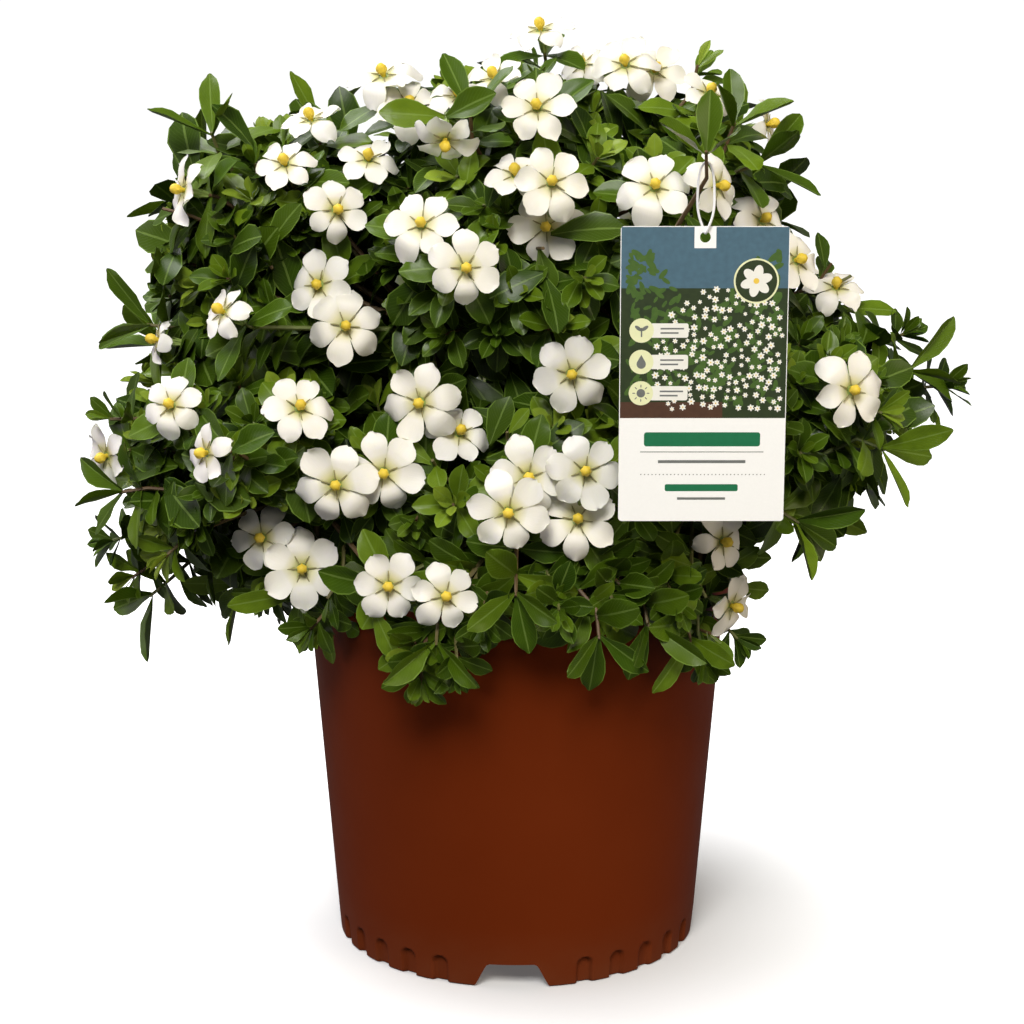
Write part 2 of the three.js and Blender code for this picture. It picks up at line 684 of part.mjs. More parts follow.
// Whether a path of points turns back on itself too sharply for a twig.
function folds(path) {
  const steps = path.slice(1).map((p, i) => p.clone().sub(path[i]).normalize());
  return steps.slice(1).some((step, i) => step.dot(steps[i]) < -0.1);
}

// The twig to a tip: from near the middle of the branch, straight or bent aside, the first one that is clear.
function clearSprig(node, tip, heart) {
  for (let attempt = 0; attempt < TWIG_TRIES; attempt += 1) {
    const stray = START_STRAY * (attempt / TWIG_TRIES);
    const start = heart.clone().add(new THREE.Vector3(
      between(-stray, stray, attempt, 81),
      between(-stray, stray, attempt, 82),
      between(-stray, stray, attempt, 83) / 2,
    ));
    const trial = new Sprig(start, start, tip, whorlsOf(tip));
    const reach = start.distanceTo(trial.knee);
    const aside = 0.5 * (attempt / TWIG_TRIES) * reach;
    const a = 2.4 * attempt;
    const middle = start.clone().lerp(trial.knee, between(0.5, 0.85, attempt, 80));
    middle.add(new THREE.Vector3(aside * Math.cos(a), aside * Math.sin(a), aside * Math.cos(2.6 * a)));
    const sprig = new Sprig(start, middle, tip, whorlsOf(tip));
    if (!folds(sprig.path) && !touches(sprig.twig(0.15), (p) => p.node === node)) return sprig;
  }
  return null;
}

// Turns a sprig's whorls until most leaves have room, and keeps those.
function fitLeaves(node, sprig) {
  const own = (p) => p.key === sprig.tip.key;
  let best = -1;
  const first = between(0, 2, sprig.tip.key, 70);
  for (let attempt = 0; attempt < 6; attempt += 1) {
    const spin = first + (attempt * Math.PI) / 9;
    const tried = sprig.whorls.map((whorl) => {
      const lone = [0, 1, 2].map((k) => sprig.lone(whorl, k, spin + whorl.twist));
      return lone.map((leaf) => (touches(leaf, own) ? null : leaf));
    });
    const count = tried.flat().filter(Boolean).length;
    if (count > best) {
      best = count;
      sprig.spin = spin;
      sprig.leaves = tried;
    }
    if (count === 3 * sprig.whorls.length) break;
  }
  sprig.whorls.forEach((whorl, i) => {
    whorl.kept = sprig.leaves[i].map(Boolean);
  });
  sprig.leaves.flat().filter(Boolean).forEach((leaf) => place(node, leaf, sprig.tip.key));
}

// Tag and tie: the tie is a loop over the twig and through the card's hole

function tagPieces(sprig) {
  const over = sprig.end.clone().addScaledVector(sprig.tip.direction, -TIE.back);
  const top = over.z + TWIG_RADIUS + TIE.slack + TIE.radius;
  const hole = new THREE.Vector3(over.x, over.y, top - TIE.drop);
  const side = [[0, 0, 0], [0.6, -3, 1.6], [TIE.half, -3, 12], [TIE.half, -1, 26], [3.4, 0, 36],
    [0, 0, TIE.drop], [-3.4, 0, 36], [-TIE.half, 1, 26], [-TIE.half, 3, 12], [-0.6, 3, 1.6]];
  const loop = new THREE.CatmullRomCurve3(side.map((p) => vec(p).add(hole)), true);
  const tie = solidOf(new THREE.TubeGeometry(loop, 18, TIE.radius, 4, true));
  const { width, height, thickness, holeDrop } = TAG;
  const shape = new THREE.Shape([[-width / 2, -height], [width / 2, -height], [width / 2, 0], [-width / 2, 0]]
    .map(([x, z]) => new THREE.Vector2(x, z + holeDrop)));
  const punched = new THREE.Path();
  punched.absarc(0, 0, TAG.hole, 0, 2 * Math.PI, true);
  shape.holes.push(punched);
  const card = new THREE.ExtrudeGeometry(shape, { depth: thickness, bevelEnabled: false, curveSegments: 6 });
  const hang = TAG.hole - TIE.radius - CLEAR;
  card.rotateX(Math.PI / 2).translate(hole.x, hole.y + thickness / 2, hole.z - hang);
  return { tie, tag: solidOf(card) };
}

// Assembly

const COLOURS = {
  pot: [0x6b2f16, 0.5], soil: [0x2b1c12, 0.95], wood: [0x5b4028, 0.85], tag: [0xf2f1ea, 0.5],
  tie: [0xf4f4f0, 0.4], branch: [0x35591f, 0.4], bloom: [0xf6f2e6, 0.6],
};

const group = new THREE.Group();

function addMesh(name, kind, solid) {
  const [color, roughness] = COLOURS[kind];
  const material = new THREE.MeshStandardMaterial({ color, roughness, metalness: 0 });
  const mesh = new THREE.Mesh(geometryOf(solid), material);
  mesh.name = name;
  group.add(mesh);
}

const label = (n) => String(n + 1).padStart(2, '0');
const branches = branchRules().map((rule, i) => ({ ...rule, node: `branch_${label(i)}` }));
keep('pot', place('pot', potSolid()));
keep('soil', place('soil', soilSolid()));
keep('wood', place('wood', woodSolid(branches)));
coreSolids(branches).forEach((core, i) => {
  const { node, end, direction, middle } = branches[i];
  const line = new THREE.LineCurve3(end.clone().addScaledVector(direction, CLEAR), middle);
  const stem = tube(line, STEM_RADIUS, 5, 1);
  [core, stem].forEach((solid) => keep(node, place(node, solid, node)));
});

// Rows of blooms, each moved until it is clear of what is there and, if it can be, of its own blooms.
const rules = [...FRONT_BLOOMS.map((row) => [frontRow, row]), ...BACK_BLOOMS.map((row) => [backRow, row])];
const bloomRows = rules.flatMap(([rule, row], i) => {
  const node = `bloom_${label(i)}`;
  const tried = BEHIND.flatMap((behind) => SHIFTS.map((shift) => rule(row, i, shift, behind)));
  let best = null;
  for (const own of tried) {
    const faces = own.map((bloom) => bloomSolid(bloom));
    const stalk = stalkOf(own.at(-1));
    const solids = own.map((bloom, k) => bloomSolid(bloom, k + 1 < own.length ? stalk : null));
    if (solids.some((solid) => touches(solid, () => false))) continue;
    const apart = faces.every((one, k) => faces.slice(k + 1).every((other) => one.intersect(other).isEmpty()));
    if (apart || !best) best = { own, solids };
    if (apart) break;
  }
  if (!best) throw new Error(`no room for ${node}`);
  best.solids.forEach((solid) => keep(node, place(node, solid)));
  return [best.own];
});

// Each row of blooms hangs on the twig of its last bloom, the fullest rows first. Each leafy tip has its own.
bloomRows.sort((a, b) => b.length - a.length);
const rows = [...bloomRows, ...leafTips(bloomRows.flat()).map((tip) => [tip])];
const sprigs = rows.flatMap((row) => {
  const near = (branch) => branch.middle.distanceTo(row[0].at);
  const nearest = [...branches].sort((a, b) => near(a) - near(b)).slice(0, 2);
  for (const { node, middle } of nearest) {
    const sprig = clearSprig(node, row.at(-1), middle);
    if (sprig) {
      place(node, sprig.twig(0), row.at(-1).key);
      return [{ node, sprig }];
    }
  }
  if (row[0].size) throw new Error(`no clear way to bloom ${row[0].key}`);
  return [];
});

const { tie, tag } = tagPieces(sprigs.find(({ sprig }) => sprig.tip.kind === 'tag').sprig);
keep('tag_tie', place('tag_tie', tie));
keep('tag', place('tag', tag));

sprigs.forEach(({ node, sprig }) => {
  fitLeaves(node, sprig);
  keep(node, sprig.solid());
});

const kindOf = (node) => ({ tag_tie: 'tie' })[node] ?? node.split('_')[0];
pieces.forEach((solids, node) => addMesh(node, kindOf(node), largest(joined(solids))));

export default group;
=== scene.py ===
"""Looks of the potted gardenia: leaves, blooms, pot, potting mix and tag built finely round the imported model.

Lengths are worked out in millimetres and written to the meshes in metres.
"""

import math

import bmesh
import bpy
import numpy as np
from mathutils import Matrix, Vector, noise
from mathutils.kdtree import KDTree

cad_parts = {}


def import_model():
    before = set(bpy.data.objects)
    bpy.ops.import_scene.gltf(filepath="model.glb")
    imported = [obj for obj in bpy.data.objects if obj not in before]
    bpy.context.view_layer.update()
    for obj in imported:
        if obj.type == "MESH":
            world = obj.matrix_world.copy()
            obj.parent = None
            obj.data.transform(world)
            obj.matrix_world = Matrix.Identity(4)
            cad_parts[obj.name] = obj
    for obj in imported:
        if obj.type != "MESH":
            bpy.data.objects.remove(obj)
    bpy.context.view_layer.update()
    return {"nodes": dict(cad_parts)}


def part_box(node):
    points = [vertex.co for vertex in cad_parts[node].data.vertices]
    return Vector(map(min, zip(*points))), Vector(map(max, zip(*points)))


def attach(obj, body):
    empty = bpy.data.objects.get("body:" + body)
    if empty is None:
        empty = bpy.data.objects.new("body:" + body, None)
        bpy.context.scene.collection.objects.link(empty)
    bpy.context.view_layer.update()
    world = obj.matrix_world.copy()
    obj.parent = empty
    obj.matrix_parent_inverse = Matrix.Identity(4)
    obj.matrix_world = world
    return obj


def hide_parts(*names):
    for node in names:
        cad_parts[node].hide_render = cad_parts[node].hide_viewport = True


MM = 0.001
UP = Vector((0, 0, 1))
TAU = 2 * math.pi

# The plant's rules, as in the solids
CROWN_Z = 232
SOIL_Z = 221
TWIG_RADIUS = 1.5
BLOOM_RADIUS = 23.5
THROAT_RADIUS = 4.5
TUBE = 15
STIGMA_HEIGHT = 7.5
CLEAR = 0.3
STRAIGHT = {"bloom": 6, "leaves": 18}
TWIG_TRIES = 160
START_STRAY = 32
EYE = Vector((-3, -1400, 555))
LOOK_DOWN_DEG = 11.15
MARKS = {"across": (1423.5, -2.6), "up": (1434.5, 269.2)}
MASSES = [
    ((-150, 6, 440), (95, 132, 104)),
    ((0, 17, 448), (122, 166, 134)),
    ((95, 10, 444), (89, 148, 118)),
    ((-165, 12, 328), (104, 168, 98)),
    ((0, 14, 312), (183, 187, 96)),
    ((150, 12, 350), (108, 168, 86)),
]
SKIRT_ROUND = {"radius": 170, "from": 165, "to": 272}
FRONT_BLOOMS = [
    [(16, 585, -20, 62, 0.95)],
    [(-70, 535, 10, 45, 1), (-86, 555, -20, 52, 1)],
    [(-133, 526, -30, 60, 0.9)],
    [(71, 562, -10, 42, 1), (90, 558, 15, 38, 1), (44, 562, -35, 35, 0.8)],
    [(14, 534, -10, 25, 1)],
    [(-46, 513, 0, -45, 0.9)],
    [(23, 485, 5, 15, 1), (0, 490, -15, 50, 0.9), (20, 456, -10, 5, 1.05)],
    [(-216, 480, -62, 12, 1)],
    [(90, 482, 0, 30, 1.05)],
    [(131, 483, 50, 5, 0.95)],
    [(-61, 457, -10, 25, 1)],
    [(-33, 429, 10, 5, 1)],
    [(-117, 467, 20, 10, 0.9)],
    [(-150, 497, -10, 40, 0.85)],
    [(-96, 500, 5, 45, 0.85)],
    [(-111, 391, 5, 12, 1.1), (-128, 418, -15, 12, 1)],
    [(-190, 400, -50, 28, 0.75)],
    [(-232, 382, -75, 10, 0.7)],
    [(-224, 339, -10, 20, 0.85)],
    [(-266, 306, -45, -5, 0.9)],
    [(-201, 308, -45, 5, 0.85)],
    [(-141, 337, 20, 35, 0.95)],
    [(-62, 341, -15, 5, 1.1), (-37, 321, 20, 30, 0.95)],
    [(-117, 287, 0, 5, 1.15), (-86, 295, 0, 5, 1.1)],
    [(36, 360, 0, 0, 1.1)],
    [(-5, 269, 0, 3, 1.1), (8, 292, 5, 5, 1.1)],
    [(45, 296, 5, 5, 1), (40, 264, 0, 22, 1.1)],
    [(-139, 232, 5, 10, 1.1), (-165, 252, -15, 15, 1)],
    [(-46, 214, 10, 12, 0.9), (-83, 221, 0, 8, 0.95)],
    [(140, 208, 50, -8, 0.95)],
    [(218, 349, 20, 5, 1.05)],
    [(208, 416, 0, 55, 0.9)],
    [(182, 434, 40, 20, 0.95), (160, 460, 30, 25, 0.95)],
    [(-14, 553, -25, 50, 0.85), (-38, 541, 0, 58, 0.85)],
    [(125, 543, 30, 45, 0.8)],
    [(163, 523, 70, 10, 0.75)],
    [(134, 250, 35, 5, 0.9)],
]
BEHIND = (9, 12, 15, 18)
SHIFTS = (0, -6, 6, -12, 12, -20, 20, -30, -40)
BACK_BLOOMS = [(30, 330), (62, 455), (88, 300), (115, 410), (150, 335)]
PAIR_GAP = 40
OUTLINE_TIPS = [
    (-198, 518, -40, 66), (-230, 468, -85, 15), (-240, 392, -80, 8), (-258, 282, -85, -8),
    (-238, 214, -75, -38), (142, 524, 40, 64), (160, 498, 80, 20), (218, 424, 75, 30),
    (258, 362, 85, 6), (240, 310, 80, -20), (184, 262, 75, -30), (-30, 534, -20, 80),
]
TAG_TIP = {"at": (102.3, -197, 517.3), "turn": -8, "lift": 55}
HANGING_TIPS = [
    (-52, 182, -8, -62), (-96, 208, -28, -50), (54, 186, 10, -60), (86, 194, 18, -58), (114, 184, 30, -60),
    (0, 214, 0, -48), (146, 214, 50, -45), (-142, 214, -50, -45),
]
SKIRT_TIPS = {"count": 11, "radius": 180, "z": 228, "lift": -42, "behind": -60, "right_to": 140}
FILL = {
    "per_mass": 70, "front_spacing": 100, "spacing": 90, "front_to": -60, "lowest": 258, "inset": 16,
    "inset_behind": 7,
}
TIERS = [(7, 125, 300, 0.42), (5, 78, 405, 0.38), (1, 0, 462, 0.56)]
TIER_TURN_DEG = 38

# Pot, as in the solids
POT_HEIGHT = 245
FOOT_RADIUS = 118
RIM_LINE_Z = 229
RIM_LINE_RADIUS = 135.8
RIM_RADIUS = 139.8
WALL = 2.2
FLOOR_Z = 17
FLOOR_THICKNESS = 2.5
SKIRT = 5.5
FLUTE = {"width": 10.5, "height": 17.5, "depth": 3}
FLUTE_PITCH_DEG = 11.25
NOTCHES = 4
NOTCH = {"foot": 45, "head": 29, "height": 15.5}
FOOT_TURN_DEG = -1.5
DRAIN = {"count": 6, "radius": 6, "ring": 80}
DRILL_DEPTH = 12
POT_SHARP_DEG = 35

# What the scene adds: finer twigs between those of the solids, and leaves down each twig
FINE = {"kind": "fine", "per_mass": 520, "spacing": 23, "insets": (19, 34), "first_key": 2000}
DEEP = {"kind": "deep", "per_mass": 150, "spacing": 42, "insets": (46, 66), "first_key": 6000}
HANGING = {
    "count": 120, "spacing": 19, "out": (146, 176), "z": (222, 264), "right_to": 128, "first_key": 4000,
}
LOWEST_TIP = 205
OVER_POT = {"radius": 150, "below": 262}
TAPER = {"x": 150, "z": 225, "slope": 0.9}
HOLLOW = {"size": 42, "below": -0.17}
SPRIGS = [
    (-264, 250, -80, -15), (-250, 226, -70, -30), (-264, 330, -85, 0), (-228, 240, -75, -40),
    (280, 352, 85, 5), (252, 386, 70, 30), (238, 334, 80, -10), (118, 562, 30, 70),
    (-62, 158, -5, -72), (-38, 166, 10, -68), (122, 172, 25, -65), (144, 186, 60, -40), (205, 432, 40, 50),
]
SPRIG_KEY = 5000

# How far inwards and how far back from its tip a free twig starts and bends, and how wide twigs are
FREE_TWIG = {"start": (55, 22), "middle": (18, 26)}
TWIG_WIDE = {"packed": 2.0, "free": 1.4, "tip": 1.0}

# Leaves: how they grow down a twig and darken with age, how much darker little-seen leaves are painted as
# shade, the inner ones, and what a coarse leaf has for its number
PACKED_WHORLS = {"gap": 10, "count": 5, "sizes": (21, 31)}
FINE_WHORLS = {"gap": 9, "count": 3, "sizes": (20, 30)}
DEEP_WHORLS = {"gap": 9, "count": 2, "sizes": (20, 30)}
FIRST_BACK = {"bloom": 12, "leaves": 24, "free": 22}
NUMBERS = {"rosette": 60, "packed": 200, "down": 320, "per_whorl": 8}
OLDER = {"rosette": 0.18, "down": 0.13}
# Share of youth kept by little-seen leaves: a darker green, painted shade deep in the bush
COARSE_YOUTH_PAINTED_SHADE = 0.6
INNER_LEAVES = 2600
INNER_DEPTH = (0.45, 0.86)
INNER_KEY = 9000
COARSE = -1
ROSETTE = (
    {"back": 0, "twist": 0.5, "length": 5.5, "width": 6.5, "rise": 1.2, "sag": 0.3},
    {"back": 2, "twist": 0, "length": 13.5, "width": 9.5, "rise": 0.85, "sag": 1},
    {"back": 7, "twist": 1.05, "length": 21, "width": 12, "rise": 0.5, "sag": 2},
    {"back": 14, "twist": 0.2, "length": 26, "width": 13.5, "rise": 0.2, "sag": 4},
)
TO_LIGHT = Vector((-0.1, -0.6, 0.8))
BUSH_MIDDLE = Vector((0, 10, 360))
LEAF_TURN = 0.55
RIM_SHARP_DEG = 55

# Grids of the leaves and petals, and how thick they are for a length of 1
FINE_BLADE = {"across": 4, "along": 6, "thickness": 0.018}
COARSE_BLADE = {"across": 2, "along": 4, "thickness": 0.03}
PETAL_BLADE = {"across": 4, "along": 8, "thickness": 0.015}


def draw(key, n):
    """A repeatable number from 0 to 1."""
    s = math.sin(key * 12.9898 + n * 78.233 + 4.1) * 43758.5453
    return s - math.floor(s)


def between(low, high, key, n):
    return low + (high - low) * draw(key, n)


def facing(turn, lift):
    """A direction from a turn and a lift in degrees: turn 0 looks along -Y and 90 along +X."""
    t, e = math.radians(turn), math.radians(lift)
    return Vector((math.sin(t) * math.cos(e), -math.cos(t) * math.cos(e), math.sin(e)))


def frame_at(at, direction, spin=0.0):
    """A placement whose Z axis is a direction, turned about it by spin."""
    side = Vector((1, 0, 0)) if abs(direction.z) > 0.95 else UP
    x = side.cross(direction).normalized()
    y = direction.cross(x)
    turn = Matrix((x, y, direction)).transposed().to_4x4()
    return Matrix.Translation(at) @ turn @ Matrix.Rotation(spin, 4, "Z")


# Shape of the bush


def inside_bush(p, scale=1.0):
    low = SKIRT_ROUND["from"] < p[2] < SKIRT_ROUND["to"]
    if low and math.hypot(p[0], p[1]) < SKIRT_ROUND["radius"] * scale:
        return True
    return any(
        sum(((p[k] - at[k]) / (size[k] * scale)) ** 2 for k in range(3)) < 1
        for at, size in MASSES
    )


def marked(right, up):
    """The point on the plane y = 0 that is seen where a mark is."""
    across = (right - MARKS["across"][1]) / MARKS["across"][0]
    above = (up - MARKS["up"][1]) / MARKS["up"][0]
    down = math.radians(LOOK_DOWN_DEG)
    far = -EYE.y / (math.cos(down) + above * math.sin(down))
    return Vector((EYE.x + across * far, 0, EYE.z + (above * math.cos(down) - math.sin(down)) * far))


def first_point(start, end):
    """The first point of the bush on the way between two points, or the second if there is none."""
    t = 0.5
    while t < 1.2 and not inside_bush(start + (end - start) * t):
        t += 0.004
    return start + (end - start) * (t if t < 1.2 else 1)


def bloom_at(at, direction, size, key):
    return {"at": at, "direction": direction, "size": size, "key": key}


def front_row(row, node, shift, behind):
    first = first_point(EYE, marked(row[0][0], row[0][1]))
    blooms = []
    for k, (right, up, turn, lift, size) in enumerate(row):
        share = (first.y - EYE.y + shift + behind * k) / -EYE.y
        at = EYE.lerp(marked(right, up), share)
        blooms.append(bloom_at(at, facing(turn, lift), size, 10 * node + k))
    return blooms


def back_row(pair, node, shift, behind):
    bearing, height = pair
    a = math.radians(bearing)
    first = first_point(Vector((600 * math.cos(a), 600 * math.sin(a), height)), Vector((0, 0, height)))
    direction = Vector((math.cos(a), math.sin(a), between(-0.1, 0.6, node, 1))).normalized()
    side = frame_at(first + direction * shift, direction, between(0, 6, node, 2))
    spots = [side @ Vector((k * PAIR_GAP, 0, -behind * k)) for k in range(2)]
    return [bloom_at(at, direction, 1, 10 * node + k) for k, at in enumerate(spots)]


def golden_points(mass, count):
    """Points spread evenly over one rounded mass, each with the outward direction there."""
    at, size = MASSES[mass]
    for i in range(count):
        high = 1 - (2 * (i + 0.5)) / count
        turn = i * math.pi * (3 - math.sqrt(5)) + mass
        flat = math.sqrt(1 - high * high)
        unit = (flat * math.cos(turn), flat * math.sin(turn), high)
        p = Vector([at[k] + size[k] * unit[k] for k in range(3)])
        yield p, Vector([unit[k] / size[k] for k in range(3)]).normalized()


def leaf_tips(taken):
    tips = []

    def add(at, direction, kind):
        tips.append({"at": at, "direction": direction, "kind": kind, "key": 700 + len(tips)})

    for right, up, turn, lift in OUTLINE_TIPS:
        add(first_point(EYE, marked(right, up)), facing(turn, lift), "outline")
    add(Vector(TAG_TIP["at"]), facing(TAG_TIP["turn"], TAG_TIP["lift"]), "tag")
    for right, up, turn, lift in HANGING_TIPS:
        add(first_point(EYE, marked(right, up)), facing(turn, lift), "skirt")
    for i in range(SKIRT_TIPS["count"]):
        turn = (360 * (i + 0.5)) / SKIRT_TIPS["count"] + between(-6, 6, i, 5)
        out = facing(turn, 0) * (SKIRT_TIPS["radius"] + between(-5, 12, i, 6))
        out.z = SKIRT_TIPS["z"] + between(-8, 14, i, 7)
        if out.y > SKIRT_TIPS["behind"] and out.x < SKIRT_TIPS["right_to"]:
            add(out, facing(turn, SKIRT_TIPS["lift"]), "skirt")
    for m in range(len(MASSES)):
        for p, out in golden_points(m, FILL["per_mass"]):
            spacing = FILL["front_spacing"] if p.y < FILL["front_to"] else FILL["spacing"]
            near = any((t["at"] - p).length < spacing for t in taken + tips)
            if p.z < FILL["lowest"] or near or inside_bush(p, 0.97):
                continue
            add(p - out * FILL["inset" if p.y < 0 else "inset_behind"], out, "fill")
    return tips


def branch_middles():
    middles = []
    for tier, (count, out, z, woody) in enumerate(TIERS):
        for i in range(count):
            middle = facing((360 * i) / count + TIER_TURN_DEG * tier, 0) * out
            middle.z = z
            middle.x *= 1.25
            middles.append((middle, woody))
    return middles


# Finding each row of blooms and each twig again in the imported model


def node_points(frame, name):
    mesh = frame["nodes"][name].data
    tree = KDTree(len(mesh.vertices))
    for v in mesh.vertices:
        tree.insert(v.co / MM, v.index)
    tree.balance()
    return tree


def has_point(tree, p, tolerance=0.02):
    return tree.find(p)[2] < tolerance


def find_row(tree, rule, row, node):
    """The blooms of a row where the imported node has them."""
    best, found = None, 1e9
    for behind in BEHIND:
        for shift in SHIFTS:
            blooms = rule(row, node, shift, behind)
            miss = sum(tree.find(b["at"] + b["direction"] * STIGMA_HEIGHT)[2] for b in blooms)
            if miss < found - 1e-4:
                best, found = blooms, miss
    return best


class Twig:
    """A twig from its start over a middle point to a straight end part, as in the solids."""

    def __init__(self, start, middle, tip):
        self.tip = tip
        bloom = "size" in tip
        along = tip["direction"]
        self.end = tip["at"] + along * (-TUBE - CLEAR if bloom else 0)
        self.knee = self.end - along * (STRAIGHT["bloom"] if bloom else STRAIGHT["leaves"])
        self.path = [start, middle, self.knee, self.end]
        self.side = along.cross(self.knee - start).normalized()
        self.spin = 0.0
        self.kept = []

    def leaf(self, whorl, k, spin):
        """A leaf's root, direction outwards, length, width, rise and droop."""
        angle = spin + TAU * (k + 0.5) / 3
        y = self.tip["direction"].cross(self.side)
        out = self.side * math.cos(angle) + y * math.sin(angle)
        key = self.tip["key"]
        length = whorl["length"] * between(0.85, 1.12, key, k + whorl["back"])
        droop = whorl["sag"] * between(0.4, 1.3, key, 30 + k + whorl["back"])
        base = self.end - self.tip["direction"] * whorl["back"]
        return {
            "base": base, "out": out, "along": self.tip["direction"], "length": length,
            "width": whorl["width"], "rise": whorl["rise"], "droop": droop,
        }

    def apex(self, leaf):
        high = leaf["length"] * math.tan(leaf["rise"]) - leaf["droop"]
        return leaf["base"] + leaf["out"] * leaf["length"] + leaf["along"] * high


def whorls_of(tip):
    if "size" in tip:
        return [{"back": 2.5, "twist": 0, "length": 35, "width": 17, "rise": 0.12, "sag": 6}]
    upper = {"back": 2, "twist": math.pi / 3, "length": 29, "width": 14.5, "rise": 0.8, "sag": 2}
    lower = {"back": 14, "twist": 0, "length": 37, "width": 18, "rise": 0.3, "sag": 9}
    return [dict(upper, length=24, rise=0.9)] if tip["kind"] == "tag" else [lower, upper]


def twig_attempt(tip, heart, attempt):
    stray = START_STRAY * (attempt / TWIG_TRIES)
    start = heart + Vector((
        between(-stray, stray, attempt, 81),
        between(-stray, stray, attempt, 82),
        between(-stray, stray, attempt, 83) / 2,
    ))
    trial = Twig(start, start, tip)
    aside = 0.5 * (attempt / TWIG_TRIES) * (start - trial.knee).length
    a = 2.4 * attempt
    middle = start.lerp(trial.knee, between(0.5, 0.85, attempt, 80))
    middle += Vector((aside * math.cos(a), aside * math.sin(a), aside * math.cos(2.6 * a)))
    return Twig(start, middle, tip)


def find_twig(trees, tip, near):
    """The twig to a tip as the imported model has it, with the leaves that it kept, or None."""
    first = between(0, 2, tip["key"], 70)
    whorls = whorls_of(tip)
    for branch, heart in near:
        tree = trees[branch]
        for attempt in range(TWIG_TRIES):
            twig = twig_attempt(tip, heart, attempt)
            for turn in range(6):
                spin = first + turn * math.pi / 9
                leaves = [[twig.leaf(w, k, spin + w["twist"]) for k in range(3)] for w in whorls]
                kept = [leaf for row in leaves for leaf in row if has_point(tree, twig.apex(leaf))]
                if kept:
                    twig.spin = spin
                    twig.kept = kept
                    twig.branch = branch
                    return twig
    return None


# Meshes and pieces


def outwards(bm, smooth=True):
    """Turns the faces of a closed shape outwards."""
    bmesh.ops.recalc_face_normals(bm, faces=bm.faces)
    for face in bm.faces:
        face.smooth = smooth


def mesh_of(name, bm, scale=1.0):
    """The mesh of a finished shape, at some scale."""
    bmesh.ops.scale(bm, vec=(scale, scale, scale), verts=bm.verts)
    mesh = bpy.data.meshes.new(name)
    bm.to_mesh(mesh)
    bm.free()
    return mesh


def in_scene(name, data):
    obj = bpy.data.objects.new(name, data)
    bpy.context.scene.collection.objects.link(obj)
    return obj


def piece(name, mesh, materials, slot, *nodes):
    """A finished piece of the object, riding on its one body and standing for CAD nodes."""
    obj = in_scene(name, mesh)
    for material in materials:
        mesh.materials.append(material)
    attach(obj, "root")
    if nodes:
        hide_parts(*nodes)
    return obj


def final_mesh(obj):
    """The mesh that an object's modifiers or its curve come to."""
    depsgraph = bpy.context.evaluated_depsgraph_get()
    return bpy.data.meshes.new_from_object(obj.evaluated_get(depsgraph), depsgraph=depsgraph)


def cut_out(obj, name, bm):
    """Cuts a shape out of a piece."""
    cutter = in_scene(name, mesh_of(name, bm, MM))
    cut = obj.modifiers.new(name, "BOOLEAN")
    cut.operation = "DIFFERENCE"
    cut.solver = "EXACT"
    cut.object = cutter
    mesh = final_mesh(obj)
    obj.modifiers.clear()
    obj.data = mesh
    bpy.data.objects.remove(cutter)


def spun(profile, steps):
    """A shape turned about Z from pairs of radius and height."""
    bm = bmesh.new()
    verts = [bm.verts.new((r, 0, z)) for r, z in profile]
    edges = [bm.edges.new(pair) for pair in zip(verts, verts[1:])]
    bmesh.ops.spin(
        bm, geom=verts + edges, cent=(0, 0, 0), axis=(0, 0, 1), angle=TAU, steps=steps, use_merge=True,
    )
    bmesh.ops.remove_doubles(bm, verts=bm.verts, dist=1e-4)
    return bm


def slab(bm, outline, y, deep):
    """A block behind an outline of x and z, from y to y + deep. Gives its corners."""
    corners = [bm.verts.new((x, y, z)) for x, z in outline]
    grown = bmesh.ops.extrude_face_region(bm, geom=[bm.faces.new(corners)])["geom"]
    moved = [g for g in grown if isinstance(g, bmesh.types.BMVert)]
    bmesh.ops.translate(bm, verts=moved, vec=(0, deep, 0))
    return corners + moved


def turned(angle, axis="Z"):
    return Matrix.Rotation(angle, 4, axis)


# Base shapes, each built once and copied


def smoothstep(t):
    t = min(1.0, max(0.0, t))
    return t * t * (3 - 2 * t)


def blade(name, shape, across, along, thickness):
    """A closed thin blade on a grid: shape gives x, y, z from u in -1 to 1 and v in 0 to 1."""
    bm = bmesh.new()
    uv = bm.loops.layers.uv.new("blade")
    bmesh.ops.create_grid(bm, x_segments=across, y_segments=along, size=0.5)
    for face in bm.faces:
        for loop in face.loops:
            loop[uv].uv = (loop.vert.co.x + 0.5, loop.vert.co.y + 0.5)
    lower = bmesh.ops.duplicate(bm, geom=bm.verts[:] + bm.edges[:] + bm.faces[:])["geom"]
    lower_verts = set(g for g in lower if isinstance(g, bmesh.types.BMVert))
    bmesh.ops.reverse_faces(bm, faces=[g for g in lower if isinstance(g, bmesh.types.BMFace)])
    for v in bm.verts:
        u, w = 2 * v.co.x, v.co.y + 0.5
        deep = thickness * (1 - u ** 4) * min(1.0, 6 * w, 6 * (1 - w)) if v in lower_verts else 0
        x, y, z = shape(u, w)
        v.co = (x, y, z - deep)
    bmesh.ops.remove_doubles(bm, verts=bm.verts, dist=1e-5)
    outwards(bm)
    return mesh_of(name, bm)


def leaf_width(v):
    """Half-width along a leaf: a short stalk, widest past the middle, and a blunt tip."""
    widening = 0.07 + 0.45 * smoothstep(v / 0.6) ** 0.85
    return widening * math.sqrt(1 - (max(0.0, v - 0.6) / 0.42) ** 2)


def leaf_shape(sag, fold, wave):
    """A leaf one long, folded up along its midrib, wavy at the rim and drooping by its sag."""
    def shape(u, v):
        v = 1 - (1 - v) ** 1.4
        half = leaf_width(v)
        ripple = wave * math.sin(9.5 * v + (1.3 if u > 0 else 0)) * u * u
        high = -sag * v * v + 0.34 * half * (fold * abs(u) - 0.15 * u * u) + ripple
        return u * half, v - 0.06 * sag - 0.05 * u * u * smoothstep((v - 0.6) / 0.4), high
    return shape


